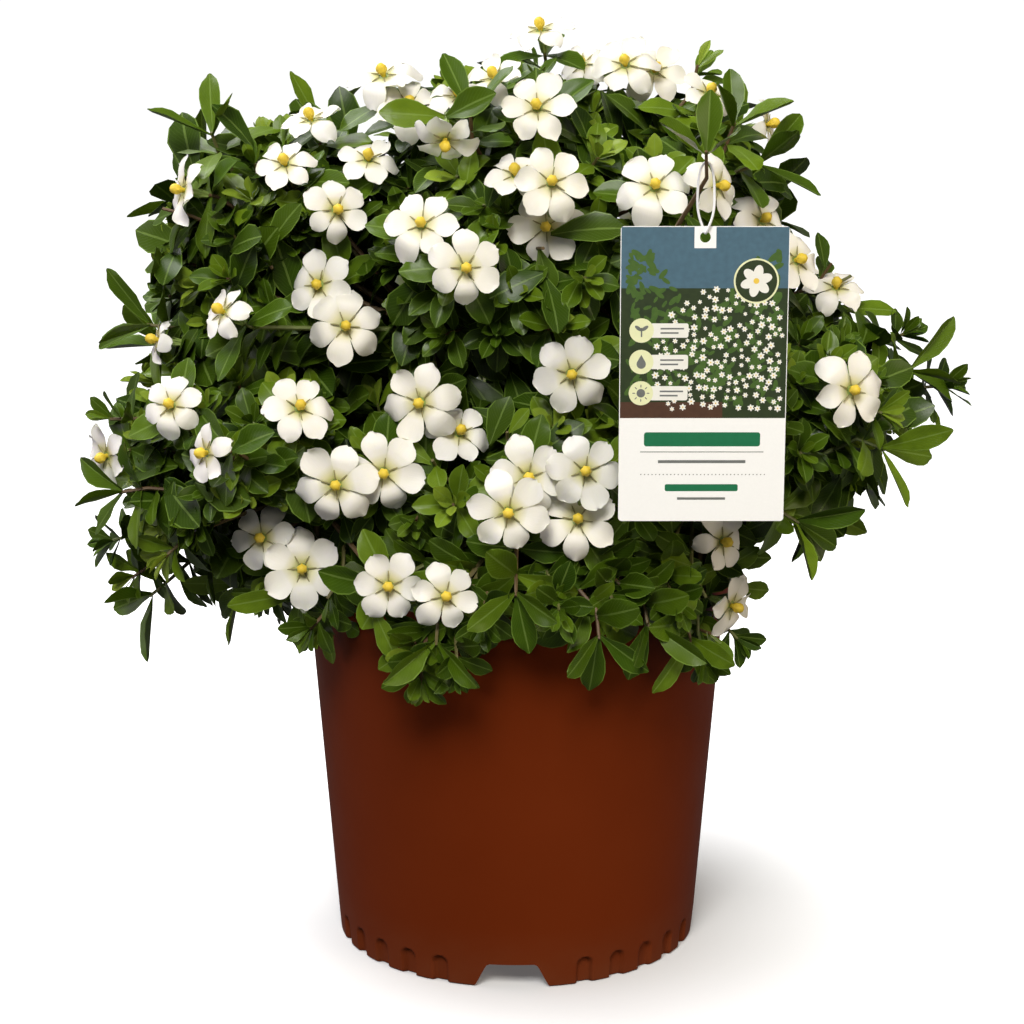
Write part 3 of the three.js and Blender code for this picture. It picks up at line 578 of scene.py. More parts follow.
LEAF_SAGS = (0.04, 0.12, 0.2, 0.3, 0.42)
LEAF_KINDS = ((0.5, 0.012), (0.8, -0.018), (0.3, 0.022))


def leaf_meshes():
    """The leaf shapes by sag and kind, and last a coarse one for leaves that are little seen."""
    fine = [
        blade(f"leaf_base_{i}{j}", leaf_shape(sag, fold, wave), **FINE_BLADE)
        for i, sag in enumerate(LEAF_SAGS) for j, (fold, wave) in enumerate(LEAF_KINDS)
    ]
    return fine + [blade("leaf_base_inner", leaf_shape(0.2, 0.5, 0.01), **COARSE_BLADE)]


def petal_shape(reflex, wave, cup, notch):
    """A broad petal from the throat to a rounded tip, one edge over and the other under its neighbour."""
    def shape(u, v):
        v = 1 - (1 - v) ** 1.3
        half = (0.13 + 0.2 * smoothstep(v / 0.64)) * math.sqrt(1 - (max(0.0, v - 0.64) / 0.38) ** 2)
        rounded = 1 - (0.06 * u * u + notch * (1 - abs(u)) ** 3) * smoothstep((v - 0.55) / 0.45)
        ripple = wave * math.sin(7 * v + 2.2 * u) * abs(u) * v
        high = 0.075 * math.sin(2.6 * v) - reflex * smoothstep((v - 0.45) / 0.55) * v
        high += cup * u * u * v + 0.035 * u * v + ripple - 0.02 * (1 - abs(u)) * v
        return u * half, 0.13 + 0.87 * v * rounded, high
    return shape


PETAL_KINDS = (
    (0.02, 0.03, 0.05, 0), (0.14, 0.05, -0.06, 0.05), (0.3, 0.03, -0.12, 0), (-0.06, 0.05, 0.1, 0.07),
    (0.1, -0.05, 0.04, 0), (0.4, -0.04, -0.08, 0.04), (0.2, 0.06, 0.12, 0),
)


def petal_meshes():
    return [blade(f"petal_base_{i}", petal_shape(*kind), **PETAL_BLADE) for i, kind in enumerate(PETAL_KINDS)]


def turned_mesh(name, profile, steps, ribs=0.0):
    """A small turned shape from pairs of radius and height, closed at both ends, with six ribs if asked."""
    bm = spun(profile, steps)
    for v in bm.verts:
        v.co.xy *= 1 - ribs * (0.5 + 0.5 * math.cos(6 * math.atan2(v.co.y, v.co.x)))
    outwards(bm)
    return mesh_of(name, bm)


def stem_mesh(points, radii, sides):
    """A tube along points, closed at both ends."""
    bm = bmesh.new()
    rings = []
    side = (points[1] - points[0]).orthogonal().normalized()
    for i, p in enumerate(points):
        ahead = (points[min(i + 1, len(points) - 1)] - points[max(i - 1, 0)]).normalized()
        side = (side - ahead * side.dot(ahead)).normalized()
        place = Matrix.Translation(p) @ Matrix((side, ahead.cross(side), ahead)).transposed().to_4x4()
        ring = bmesh.ops.create_circle(bm, cap_ends=False, segments=sides, radius=radii[i], matrix=place)
        rings.append(ring["verts"])
    loops = [[bm.edges.get((a, b)) for a, b in zip(ring, ring[1:] + ring[:1])] for ring in rings]
    for lower, upper in zip(loops, loops[1:]):
        bmesh.ops.bridge_loops(bm, edges=lower + upper)
    for ring in (rings[0], rings[-1]):
        bm.faces.new(ring)
    outwards(bm)
    return mesh_of("stem", bm)


def repeated(pairs, kind):
    """Each value as often as the count beside it says, in one flat list."""
    values, counts = zip(*pairs)
    return np.repeat(np.array(values, kind), counts, axis=0).ravel()


class Growth:
    """Gathers copies of base shapes in one mesh, with a tint and a finish for each copy."""

    def __init__(self):
        self.bm = bmesh.new()
        self.tints = []
        self.finishes = []

    def add(self, base, matrix, tint=(0.5, 0.5), finish=0):
        part = base.copy()
        part.transform(matrix)
        if matrix.determinant() < 0:
            part.flip_normals()
        before = len(self.bm.faces)
        self.bm.from_mesh(part)
        self.tints.append(((*tint, 0.0, 1.0), len(part.vertices)))
        self.finishes.append((finish, len(self.bm.faces) - before))
        bpy.data.meshes.remove(part)

    def stem(self, points, radii, sides=6, tint=(0.5, 0.5), finish=0):
        tube = stem_mesh(points, radii, sides)
        self.add(tube, Matrix.Identity(4), tint, finish)
        bpy.data.meshes.remove(tube)

    def finish(self, name, materials, slot, *nodes):
        mesh = mesh_of(name, self.bm, MM)
        mesh.set_sharp_from_angle(angle=math.radians(RIM_SHARP_DEG))
        tint = mesh.color_attributes.new("tint", "FLOAT_COLOR", "POINT")
        tint.data.foreach_set("color", repeated(self.tints, np.float32))
        mesh.polygons.foreach_set("material_index", repeated(self.finishes, np.int32))
        piece(name, mesh, materials, slot, *nodes)


# Materials


class Nodes:
    """A node tree being built."""

    def __init__(self, tree):
        self.tree = tree

    def feed(self, value, socket):
        """Sets a plain value on a socket, or links another node's output to it."""
        if isinstance(value, bpy.types.NodeSocket):
            self.tree.links.new(value, socket)
        else:
            socket.default_value = (*value, 1) if socket.type == "RGBA" else value

    def node(self, kind, inputs=None, **settings):
        """A new node with its settings, its inputs fed by name."""
        node = self.tree.nodes.new(kind)
        for name, value in settings.items():
            setattr(node, name, value)
        for name, value in (inputs or {}).items():
            self.feed(value, node.inputs[name])
        return node


class Finish(Nodes):
    """A node material being built."""

    def __init__(self, name, settings):
        self.material = bpy.data.materials.new(name)
        self.material.use_nodes = True
        super().__init__(self.material.node_tree)
        self.shader = self.tree.nodes["Principled BSDF"]
        for socket, value in settings.items():
            self.feed(value, self.shader.inputs[socket])

    def place(self):
        return self.node("ShaderNodeTexCoord").outputs["Object"]

    def blade_uv(self):
        return self.node("ShaderNodeUVMap", uv_map="blade").outputs["UV"]

    def axes(self, vector):
        return list(self.node("ShaderNodeSeparateXYZ", {"Vector": vector}).outputs)

    def tint(self):
        colour = self.node("ShaderNodeAttribute", attribute_name="tint").outputs["Color"]
        return list(self.node("ShaderNodeSeparateColor", {"Color": colour}).outputs)[:2]

    def stretched(self, vector, scale):
        return self.node("ShaderNodeMapping", {"Vector": vector, "Scale": scale}).outputs["Vector"]

    def noise(self, vector, scale, detail=3.0):
        inputs = {"Vector": vector, "Scale": scale, "Detail": detail, "Roughness": 0.55}
        return self.node("ShaderNodeTexNoise", inputs).outputs["Fac"]

    def maths(self, operation, *values):
        node = self.node("ShaderNodeMath", operation=operation)
        for socket, value in zip(node.inputs, values):
            self.feed(value, socket)
        return node.outputs["Value"]

    def times(self, a, b):
        return self.maths("MULTIPLY", a, b)

    def ramp(self, value, *stops):
        node = self.node("ShaderNodeValToRGB", {"Fac": value})
        elements = node.color_ramp.elements
        while len(elements) < len(stops):
            elements.new(0.5)
        for element, (at, colour) in zip(elements, stops):
            element.position = at
            element.color = (*colour, 1)
        return node.outputs["Color"]

    def mix(self, share, a, b):
        node = self.node("ShaderNodeMix", data_type="RGBA")
        sockets = [s for s in node.inputs if s.enabled]
        for socket, value in zip(sockets, (share, a, b)):
            self.feed(value, socket)
        return [s for s in node.outputs if s.enabled][0]

    def bump(self, height, strength, distance):
        node = self.node("ShaderNodeBump", {"Strength": strength, "Distance": distance, "Height": height})
        self.feed(node.outputs["Normal"], self.shader.inputs["Normal"])

    def colour(self, value):
        """Gives the base colour, which is the last step, and returns the material."""
        self.feed(value, self.shader.inputs["Base Color"])
        return self.material


def leaf_finish():
    """Glossy green, paler while young, with a pale midrib and side veins and a painted highlight along the rim,
    drawn along the blade.
    """
    f = Finish("glossy_leaf", {"Roughness": 0.3, "Specular IOR Level": 0.18})
    young, shade = f.tint()
    u, v, _ = f.axes(f.blade_uv())
    off = f.maths("ABSOLUTE", f.maths("SUBTRACT", u, 0.5))
    # A pale band along the leaf's edge: a painted highlight, standing in for light catching the rim.
    rim = f.maths("GREATER_THAN", off, 0.46)
    midrib = f.maths("LESS_THAN", off, 0.035)
    slant = f.maths("SUBTRACT", f.times(v, 13.0), f.times(off, 9.0))
    wave = f.maths("ABSOLUTE", f.maths("SUBTRACT", f.maths("FRACT", slant), 0.5))
    veins = f.maths("LESS_THAN", wave, 0.07)
    mottle = f.noise(f.place(), 160)
    green = f.ramp(
        young, (0.0, (0.018, 0.042, 0.002)), (0.45, (0.052, 0.105, 0.003)), (0.75, (0.15, 0.235, 0.010)),
        (1.0, (0.34, 0.45, 0.045)),
    )
    for mark, share, colour in (
        (mottle, 0.5, (0.014, 0.034, 0.002)), (shade, 0.35, (0.085, 0.135, 0.006)),
        (rim, 0.6, (0.17, 0.27, 0.04)), (veins, 0.16, (0.11, 0.19, 0.03)), (midrib, 0.45, (0.19, 0.28, 0.06)),
    ):
        green = f.mix(f.times(mark, share), green, colour)
    f.bump(f.maths("ADD", f.times(f.maths("ADD", midrib, veins), -0.6), mottle), 0.35, 0.0004)
    return f.colour(green)


def twig_finish():
    """Bark of a twig, brown and green while young."""
    f = Finish("twig_bark", {"Roughness": 0.6})
    rough = f.noise(f.place(), 500, 4)
    tone = f.ramp(
        f.tint()[0], (0.0, (0.12, 0.055, 0.025)), (0.5, (0.14, 0.09, 0.03)), (1.0, (0.12, 0.2, 0.035)),
    )
    f.bump(rough, 0.4, 0.0004)
    return f.colour(f.mix(f.times(rough, 0.5), tone, (0.05, 0.03, 0.012)))


def petal_finish():
    """Creamy white with fine veins along the petal and a yellow-green throat, yellower with age."""
    f = Finish("petal", {
        "Roughness": 0.55, "Subsurface Weight": 0.2, "Subsurface Radius": (0.6, 0.8, 0.3),
        "Subsurface Scale": 0.004,
    })
    along = f.ramp(
        f.axes(f.blade_uv())[1], (0.0, (0.46, 0.48, 0.08)), (0.12, (0.72, 0.70, 0.38)),
        (0.28, (0.87, 0.855, 0.73)), (1.0, (0.885, 0.88, 0.785)),
    )
    veins = f.noise(f.stretched(f.blade_uv(), (26, 2.2, 1)), 1.0, 2)
    soft = f.mix(f.times(veins, 0.2), along, (0.64, 0.60, 0.46))
    f.bump(veins, 0.25, 0.0003)
    return f.colour(f.mix(f.times(f.tint()[0], 0.35), soft, (0.85, 0.79, 0.56)))


def plain_finish(name, low, high, roughness, scale, bump=0.3):
    """A finish that drifts between two near colours, with a fine grain."""
    f = Finish(name, {"Roughness": roughness})
    grain = f.noise(f.place(), scale, 4)
    f.bump(grain, bump, 0.0003)
    return f.colour(f.mix(grain, low, high))


def pot_finish():
    """Moulded plastic: dark terracotta, cloudy, a little scuffed and dusty at the foot."""
    f = Finish("moulded_plastic", {"Specular IOR Level": 0.1, "Specular Tint": (1, 0.72, 0.4)})
    place = f.place()
    body = f.mix(f.noise(place, 7), (0.108, 0.0145, 0.0022), (0.155, 0.0235, 0.004))
    low = f.maths("SUBTRACT", 1.0, f.times(f.axes(place)[2], 26.0))
    dust = f.times(f.maths("MAXIMUM", low, 0.0), f.times(f.noise(place, 60, 5), 0.35))
    scuffs = f.noise(f.stretched(place, (9, 9, 160)), 3.0)
    satin = f.ramp(f.noise(place, 22, 4), (0.3, (0.44, 0.44, 0.44)), (0.75, (0.56, 0.56, 0.56)))
    f.feed(satin, f.shader.inputs["Roughness"])
    grain = f.noise(place, 1400, 2)
    f.bump(f.maths("ADD", f.times(grain, 0.6), f.times(scuffs, 0.4)), 0.12, 0.0003)
    return f.colour(f.mix(dust, body, (0.16, 0.07, 0.035)))


def soil_finish():
    f = Finish("potting_mix", {"Roughness": 0.95})
    place = f.place()
    crumbs = f.node("ShaderNodeTexVoronoi", {"Vector": place, "Scale": 260}).outputs["Distance"]
    tone = f.mix(crumbs, (0.018, 0.011, 0.007), (0.07, 0.042, 0.026))
    f.bump(crumbs, 0.9, 0.002)
    return f.colour(f.mix(f.times(f.noise(place, 90, 4), 0.5), tone, (0.03, 0.02, 0.014)))


# Plant


def leaf_matrix(leaf):
    """Where a leaf's base shape goes: Y along the blade and Z up through it, rolled towards the light."""
    rise = math.tan(leaf["rise"])
    y = (leaf["out"] + leaf["along"] * rise).normalized()
    x = leaf["along"].cross(leaf["out"]).normalized() * -1
    light = TO_LIGHT + (leaf["base"] - BUSH_MIDDLE).normalized() * 0.7
    toward = (light - y * light.dot(y)).normalized()
    z = (x.cross(y) * (1 - LEAF_TURN) + toward * LEAF_TURN).normalized()
    x = y.cross(z)
    length = leaf["length"] * math.sqrt(1 + rise * rise)
    columns = (x * leaf["width"], y * length, z * length)
    turn = Matrix([[c[r] for c in columns] for r in range(3)]).to_4x4()
    return Matrix.Translation(leaf["base"] + leaf["out"] * TWIG_RADIUS * 0.6) @ turn


def leaf_variant(leaf, key, n):
    """The number of the fine leaf shape that is nearest in sag, of a kind drawn for this leaf."""
    sag = leaf["droop"] / leaf["length"]
    i = min(range(len(LEAF_SAGS)), key=lambda j: abs(LEAF_SAGS[j] - sag))
    return i * len(LEAF_KINDS) + int(between(0, len(LEAF_KINDS) - 1e-6, key, n))


class Room:
    """Says whether a leaf would hide a bloom or the tag, or run through one."""

    # Round each bloom, from how far to how far along an axis, and how wide in shares of its radius
    OVER = (-3.5, 40, 0.98)
    UNDER = (-16, -3.5, 0.35)
    IN_SIGHT = (2, 220, 0.8)
    TAG_MARGIN = Vector((3, 5, 4))

    def __init__(self, blooms, tag):
        self.at = np.array([b["at"] for b in blooms])
        out = np.array([b["direction"] for b in blooms])
        eye = np.array(EYE) - self.at
        eye /= np.linalg.norm(eye, axis=1, keepdims=True)
        self.zones = ((out, self.OVER), (out, self.UNDER), (eye, self.IN_SIGHT))
        self.radius = np.array([BLOOM_RADIUS * b["size"] for b in blooms])
        self.low, self.top = tag[0] - self.TAG_MARGIN, tag[1] + self.TAG_MARGIN

    def clear(self, leaf):
        return not any(self.in_bloom(p) or self.on_tag(p) for p in leaf_points(leaf))

    def in_bloom(self, p):
        rel = np.array(p) - self.at
        for axis, (near, far, share) in self.zones:
            high = np.einsum("ij,ij->i", rel, axis)
            wide = np.linalg.norm(rel - high[:, None] * axis, axis=1)
            if np.any((high > near) & (high < far) & (wide < share * self.radius)):
                return True
        return False

    def on_tag(self, p):
        return self.low.x < p.x < self.top.x and self.low.z < p.z < self.top.z and p.y < self.top.y


def leaf_points(leaf):
    """A leaf's middle, tip and both sides."""
    rise = math.tan(leaf["rise"])
    root, out, along = leaf["base"], leaf["out"], leaf["along"]
    side = along.cross(out) * leaf["width"] * 0.45
    mid = root + (out + along * rise) * leaf["length"] * 0.6 - along * leaf["droop"] * 0.4
    tip = root + (out + along * rise) * leaf["length"] - along * leaf["droop"]
    return [mid, tip, mid + side, mid - side]


def bent_path(twig, steps=5):
    """A smooth line along a twig's points."""
    a, b, c, d = twig.path
    line = []
    for i in range(steps + 1):
        t = i / steps
        line.append(a.lerp(b, t).lerp(b.lerp(c, t), t) if t < 1 else c)
    return line + [d]


def back_along(line, far):
    """The point so far along a line, with the direction back to its start, or None past its end."""
    for p, q in zip(line, line[1:]):
        step = (p - q).length
        if far <= step:
            return p.lerp(q, far / step), (p - q).normalized()
        far -= step
    return None


def limited(share):
    return min(1.0, max(0.0, share))


def leaves_down(twig, start_back, grown, room, gap, count, sizes):
    """Whorls of leaves down a twig, below those at its end, where there is room."""
    key = twig.tip["key"]
    line = bent_path(twig, 8)[::-1]
    for level in range(count):
        spot = back_along(line, start_back + gap * level)
        if spot is None:
            return
        at, along = spot
        side = along.orthogonal().normalized()
        y = along.cross(side)
        leaves = 3 if draw(key, 300 + level) > 0.35 else 2
        turn = between(0, TAU, key, 310 + level)
        for k in range(leaves):
            n = NUMBERS["down"] + NUMBERS["per_whorl"] * level + k
            angle = turn + TAU * k / leaves + between(-0.25, 0.25, key, n)
            length = between(*sizes, key, n + 100)
            leaf = {
                "base": at, "out": side * math.cos(angle) + y * math.sin(angle), "along": along,
                "length": length, "width": length * between(0.44, 0.56, key, n + 200),
                "rise": between(-0.1, 0.6, key, n + 300),
                "droop": length * between(0.04, 0.34, key, n + 400),
            }
            if room.clear(leaf):
                young = limited(0.46 - OLDER["down"] * level + between(-0.22, 0.3, key, n + 500))
                grown.append((leaf, young, n))


def over_pot(p):
    """Whether a point is low over the pot, where a twig would end in it."""
    return p.z < OVER_POT["below"] and math.hypot(p.x, p.y) < OVER_POT["radius"]


def past_outline(at, kind):
    """Whether a tip is below the bush, under its rising right end or in one of its hollows."""
    if at.z < LOWEST_TIP or over_pot(at):
        return True
    if at.x > TAPER["x"] and at.z < TAPER["z"] + TAPER["slope"] * (at.x - TAPER["x"]):
        return True
    return kind == "fine" and noise.noise(at / HOLLOW["size"]) < HOLLOW["below"]


def near_any(at, taken, spacing):
    return any((t - at).length < spacing for t in taken)


def fine_twigs(taken, kind, per_mass, spacing, insets, first_key):
    """Twigs between those of the solids, spread evenly over the bush at some depth."""
    tips = []
    for m in range(len(MASSES)):
        for p, out in golden_points(m, per_mass):
            key = first_key + len(tips)
            at = p - out * between(*insets, key, 1)
            if inside_bush(p, 0.95) or past_outline(at, kind) or near_any(at, taken, spacing):
                continue
            taken.append(at)
            front = between(0, 0.6, key, 3) if at.y < 60 else 0
            aim = (out + Vector((0, -front, between(-0.1, 0.7, key, 2)))).normalized()
            tips.append({"at": at, "direction": aim, "kind": kind, "key": key})
    return tips


def hanging_twigs(taken):
    """Twigs that hang over the rim, between those of the solids."""
    tips = []
    for i in range(HANGING["count"]):
        key = HANGING["first_key"] + i
        turn = 360 * i / HANGING["count"] + between(-4, 4, key, 1)
        at = facing(turn, 0) * between(*HANGING["out"], key, 2)
        at.z = between(*HANGING["z"], key, 3)
        if at.x > HANGING["right_to"] or near_any(at, taken, HANGING["spacing"]):
            continue
        taken.append(at)
        aim = facing(turn, between(-60, 0, key, 4))
        tips.append({"at": at, "direction": aim, "kind": "hang", "key": key})
    return tips


def nearest_branch(middles, at):
    return min(range(len(middles)), key=lambda i: (middles[i][0] - at).length)


def free_twig(tip, middles):
    """A short twig, from inside the bush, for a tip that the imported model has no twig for."""
    branch = nearest_branch(middles, tip["at"])
    inward = (middles[branch][0] - tip["at"]).normalized()
    start, middle = [tip["at"] + inward * far - tip["direction"] * back for far, back in FREE_TWIG.values()]
    twig = Twig(start, middle, tip)
    twig.branch = branch
    twig.spin = between(0, 2, tip["key"], 5)
    return twig


def rosette(twig, room, grown):
    """The leaves at the end of a free twig, which open downwards from a tight bud."""
    key = twig.tip["key"]
    tip_young = between(0.65, 1.1, key, 9) if draw(key, 8) > 0.35 else between(0.25, 0.6, key, 9)
    for level, whorl in enumerate(ROSETTE):
        for k in range(3):
            n = 3 * level + k
            leaf = twig.leaf(whorl, k, twig.spin + whorl["twist"] + between(-0.2, 0.2, key, 20 + n))
            if room.clear(leaf):
                young = limited(tip_young - OLDER["rosette"] * level + between(-0.1, 0.1, key, 40 + n))
                grown.append((leaf, young, NUMBERS["rosette"] + n))


def inner_leaves(middles, room):
    """Gives branch, leaf and youth of leaves inside the bush, dark green as painted shade, which close the view
    through it.
    """
    for i in range(INNER_LEAVES):
        at, size = MASSES[i % len(MASSES)]
        out = facing(360 * draw(i, 71), math.degrees(math.asin(between(-1, 1, i, 72))))
        deep = between(*INNER_DEPTH, i, 73)
        base = Vector([at[k] + size[k] * out[k] * deep for k in range(3)])
        if over_pot(base):
            continue
        along = (out + facing(360 * draw(i, 74), between(-40, 60, i, 75))).normalized()
        side = along.orthogonal().normalized()
        side.rotate(Matrix.Rotation(TAU * draw(i, 76), 3, along))
        length = between(30, 42, i, 77)
        leaf = {
            "base": base, "out": side, "along": along, "length": length, "width": 0.55 * length,
            "rise": between(-0.2, 0.5, i, 78), "droop": 0.2 * length,
        }
        if room.clear(leaf):
            # The low youth paints these inner leaves dark green: painted shade deep in the bush.
            yield nearest_branch(middles, base), leaf, between(0.0, 0.14, i, 79)


def find_plant(frame):
    """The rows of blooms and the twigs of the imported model, and the tips whose twig isn't found."""
    rules = [(front_row, row) for row in FRONT_BLOOMS] + [(back_row, pair) for pair in BACK_BLOOMS]
    rows = []
    for n, (rule, row) in enumerate(rules):
        rows.append(find_row(node_points(frame, f"bloom_{n + 1:02d}"), rule, row, n))
    middles = branch_middles()
    trees = [node_points(frame, f"branch_{i + 1:02d}") for i in range(len(middles))]
    tips = leaf_tips([bloom for row in rows for bloom in row])
    found, left = [], []
    for row in rows + [[tip] for tip in tips]:
        order = sorted(range(len(middles)), key=lambda i: (middles[i][0] - row[0]["at"]).length)[:2]
        twig = find_twig(trees, row[-1], [(i, middles[i][0]) for i in order])
        if twig:
            found.append(twig)
        else:
            left.append(dict(row[-1], kind="hang" if row[-1]["at"].z < 250 else "fine"))
    return rows, middles, found, left


def free_tips(twigs, blooms):
    """The tips of the scene's own twigs: sprigs at the outline, fine ones, hanging ones and deep ones."""
    sprigs = [
        {
            "at": first_point(EYE, marked(right, up)), "direction": facing(turn, lift), "kind": "fine",
            "key": SPRIG_KEY + i,
        }
        for i, (right, up, turn, lift) in enumerate(SPRIGS)
    ]
    taken = [twig.tip["at"] for twig in twigs] + [bloom["at"] for bloom in blooms]
    fine = fine_twigs(taken, **FINE)
    return sprigs + fine + hanging_twigs(taken) + fine_twigs([], **DEEP)


def plan_leaves(rows, middles, twigs, left):
    """All leaves and all twigs, by branch: a leaf as its key, shape, youth and number."""
    blooms = [bloom for row in rows for bloom in row]
    low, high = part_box("tag")
    room = Room(blooms, (low / MM, high / MM))
    leaves = [[] for _ in middles]
    stems = [[] for _ in middles]
    for twig in twigs:
        key = twig.tip["key"]
        grown = [
            (leaf, between(0.3, 0.75, key, 90 + k), NUMBERS["packed"] + k) for k, leaf in enumerate(twig.kept)
        ]
        back = FIRST_BACK["bloom" if "size" in twig.tip else "leaves"]
        leaves_down(twig, back, grown, room, **PACKED_WHORLS)
        leaves[twig.branch] += [(key, *one) for one in grown]
        stems[twig.branch].append(twig)
    for i, (branch, leaf, young) in enumerate(inner_leaves(middles, room)):
        leaves[branch].append((INNER_KEY + i, leaf, young, COARSE))
    for tip in left + free_tips(twigs, blooms):
        twig = free_twig(tip, middles)
        deep = tip["kind"] == "deep"
        grown = []
        rosette(twig, room, grown)
        leaves_down(twig, FIRST_BACK["free"], grown, room, **(DEEP_WHORLS if deep else FINE_WHORLS))
        for leaf, young, n in grown:
            little_seen = deep or n >= NUMBERS["down"] + NUMBERS["per_whorl"]
            # Little-seen leaves, deep in the bush or low on a twig, get a darker green as painted shade.
            look = (young * COARSE_YOUTH_PAINTED_SHADE, COARSE) if little_seen else (young, n)
            leaves[twig.branch].append((tip["key"], leaf, *look))
        if grown:
            stems[twig.branch].append(twig)
    return leaves, stems


def make_branches(leaves, stems, middles):
    """Each branch's leaves, twigs and limb, as one piece for each node."""
    bases = leaf_meshes()
    materials = [leaf_finish(), twig_finish()]
    crown = Vector((0, 0, CROWN_Z))
    for branch, (middle, woody) in enumerate(middles):
        growth = Growth()
        for key, leaf, young, n in leaves[branch]:
            base = bases[-1] if n == COARSE else bases[leaf_variant(leaf, key, n)]
            growth.add(base, leaf_matrix(leaf), (young, draw(key, n + 7)))
        for twig in stems[branch]:
            line = bent_path(twig)
            wide = TWIG_WIDE["packed" if twig.kept else "free"]
            radii = [wide - (wide - TWIG_WIDE["tip"]) * i / (len(line) - 1) for i in range(len(line))]
            growth.stem(line, radii, tint=(between(0.2, 0.9, twig.tip["key"], 3), 0.5), finish=1)
        end = crown.lerp(middle, woody)
        limb = [end + (middle - end).normalized() * CLEAR, end.lerp(middle, 0.5), middle]
        growth.stem(limb, [2.6, 2.5, 2.0], tint=(0.1, 0.5), finish=1)
        name = f"{branch + 1:02d}"
        growth.finish(f"leafy_branch_{name}", materials, "branch", f"branch_{name}")


STIGMA_PROFILE = [(0, -1), (1.4, -1), (1.7, 1.6), (2.9, 2.8), (3.5, 4.6), (3.2, 6.6), (1.9, 8.2), (0, 8.8)]
ANTHER_PROFILE = [(0, -0.5), (0.3, -0.42), (0.45, 0), (0.3, 0.42), (0, 0.5)]
TOOTH_PROFILE = [(0, -0.5), (0.55, -0.5), (0.5, 0), (0, 0.5)]
PETALS = 6
STIGMA, ANTHER, GREEN = 1, 2, 3


def bloom_finishes():
    """The finishes of petals, stigmas, anthers, and tubes and calyces, in this order."""
    return [
        petal_finish(),
        plain_finish("yellow_stigma", (0.80, 0.60, 0.05), (0.62, 0.42, 0.02), 0.6, 900),
        plain_finish("olive_anther", (0.20, 0.18, 0.07), (0.34, 0.31, 0.14), 0.7, 1200),
        plain_finish("green_tube", (0.30, 0.38, 0.10), (0.17, 0.27, 0.05), 0.5, 500),
    ]


def add_petals(growth, petals, bloom, place):
    key = bloom["key"]
    old = between(0, 1, key, 61) ** 3
    for k in range(PETALS):
        angle = TAU * (k + 0.5) / PETALS + between(-0.03, 0.03, key, 40 + k)
        reach = BLOOM_RADIUS * bloom["size"] * between(0.87, 1.02, key, k)
        wide = 1.06 * reach * between(0.9, 1.06, key, 90 + k)
        kind = int(between(0, len(PETAL_KINDS) - 1e-6, key, 80 + k))
        spot = place @ turned(angle - math.pi / 2) @ turned(between(-0.07, 0.05, key, 20 + k), "X")
        growth.add(petals[kind], spot @ Matrix.Diagonal((wide, reach, reach, 1)), (old, draw(key, 100 + k)))


def add_heart(growth, stigma, anther, bloom, place):
    """A bloom's stigma, and an anther lying over each gap between petals."""
    key = bloom["key"]
    growth.add(stigma, place @ turned(between(-0.08, 0.08, key, 110), "X"), finish=STIGMA)
    lay = Matrix.Translation((6.0, 0, 1.4)) @ turned(1.5, "Y") @ Matrix.Diagonal((0.9, 1.1, 6.2, 1))
    for k in range(PETALS):
        angle = TAU * k / PETALS + between(-0.1, 0.1, key, 120 + k)
        growth.add(anther, place @ turned(angle) @ lay, finish=ANTHER)


def add_tube(growth, bloom, foot):
    throat = bloom["at"] - bloom["direction"] * 0.4
    line = [throat, throat - bloom["direction"] * 1.6, throat.lerp(foot, 0.4), foot]
    growth.stem(line, [THROAT_RADIUS, 2.4, 1.9, 1.7], 8, finish=GREEN)


def add_calyx(growth, tooth, place):
    """Six long teeth round the foot of a tube."""
    lay = Matrix.Translation((2.1, 0, -TUBE + 3.6)) @ turned(0.18, "Y") @ Matrix.Diagonal((1, 1, 8, 1))
    for k in range(PETALS):
        growth.add(tooth, place @ turned(TAU * k / PETALS) @ lay, finish=GREEN)


def make_blooms(rows):
    """Each row's petals, stigmas, anthers, tubes and calyx, as one piece for each node."""
    petals = petal_meshes()
    materials = bloom_finishes()
    stigma = turned_mesh("stigma_base", STIGMA_PROFILE, 12, ribs=0.16)
    anther = turned_mesh("anther_base", ANTHER_PROFILE, 5)
    tooth = turned_mesh("tooth_base", TOOTH_PROFILE, 4)
    for n, blooms in enumerate(rows):
        growth = Growth()
        last = blooms[-1]
        stalk = last["at"] + last["direction"] * (2 - TUBE)
        for bloom in blooms:
            place = frame_at(bloom["at"], bloom["direction"], between(0, 1.05, bloom["key"], 60))
            add_petals(growth, petals, bloom, place)
            add_heart(growth, stigma, anther, bloom, place)
            add_tube(growth, bloom, last["at"] - last["direction"] * TUBE if bloom is last else stalk)
        add_calyx(growth, tooth, place)
        name = f"{n + 1:02d}"
        growth.finish(f"flower_{name}", materials, "bloom", f"bloom_{name}")


def make_wood(middles):
    """The trunk and the limbs that bear the branches."""
    growth = Growth()
    crown = Vector((0, 0, CROWN_Z))
    root = Vector((0, 0, SOIL_Z - 33))
    trunk = [root, Vector((0.6, 0.3, SOIL_Z)), crown, crown + Vector((0, 0, 12))]
    growth.stem(trunk, [8, 8.6, 8.2, 5.5], 14)
    for i, (middle, woody) in enumerate(middles):
        end = crown.lerp(middle, woody)
        side = Vector((between(-1, 1, i, 3), between(-1, 1, i, 4), 0)) * 1.2
        line = [crown, crown.lerp(end, 0.35) + side, crown.lerp(end, 0.7) - side * 0.6, end]
        growth.stem(line, [5.0, 4.4, 4.1, 3.9], 10)
    bark = plain_finish("bark", (0.16, 0.10, 0.06), (0.07, 0.04, 0.022), 0.85, 260, 0.8)
    growth.finish("trunk_and_limbs", [bark], "wood", "wood")


# Pot and potting mix

SOIL_DOME = 5.4
TRUNK_HOLE_DEPTH = 30
CHIPS = {"count": 170, "from": 20, "to": 124}


def wall_radius(z):
    return FOOT_RADIUS + (RIM_LINE_RADIUS - FOOT_RADIUS) * z / RIM_LINE_Z


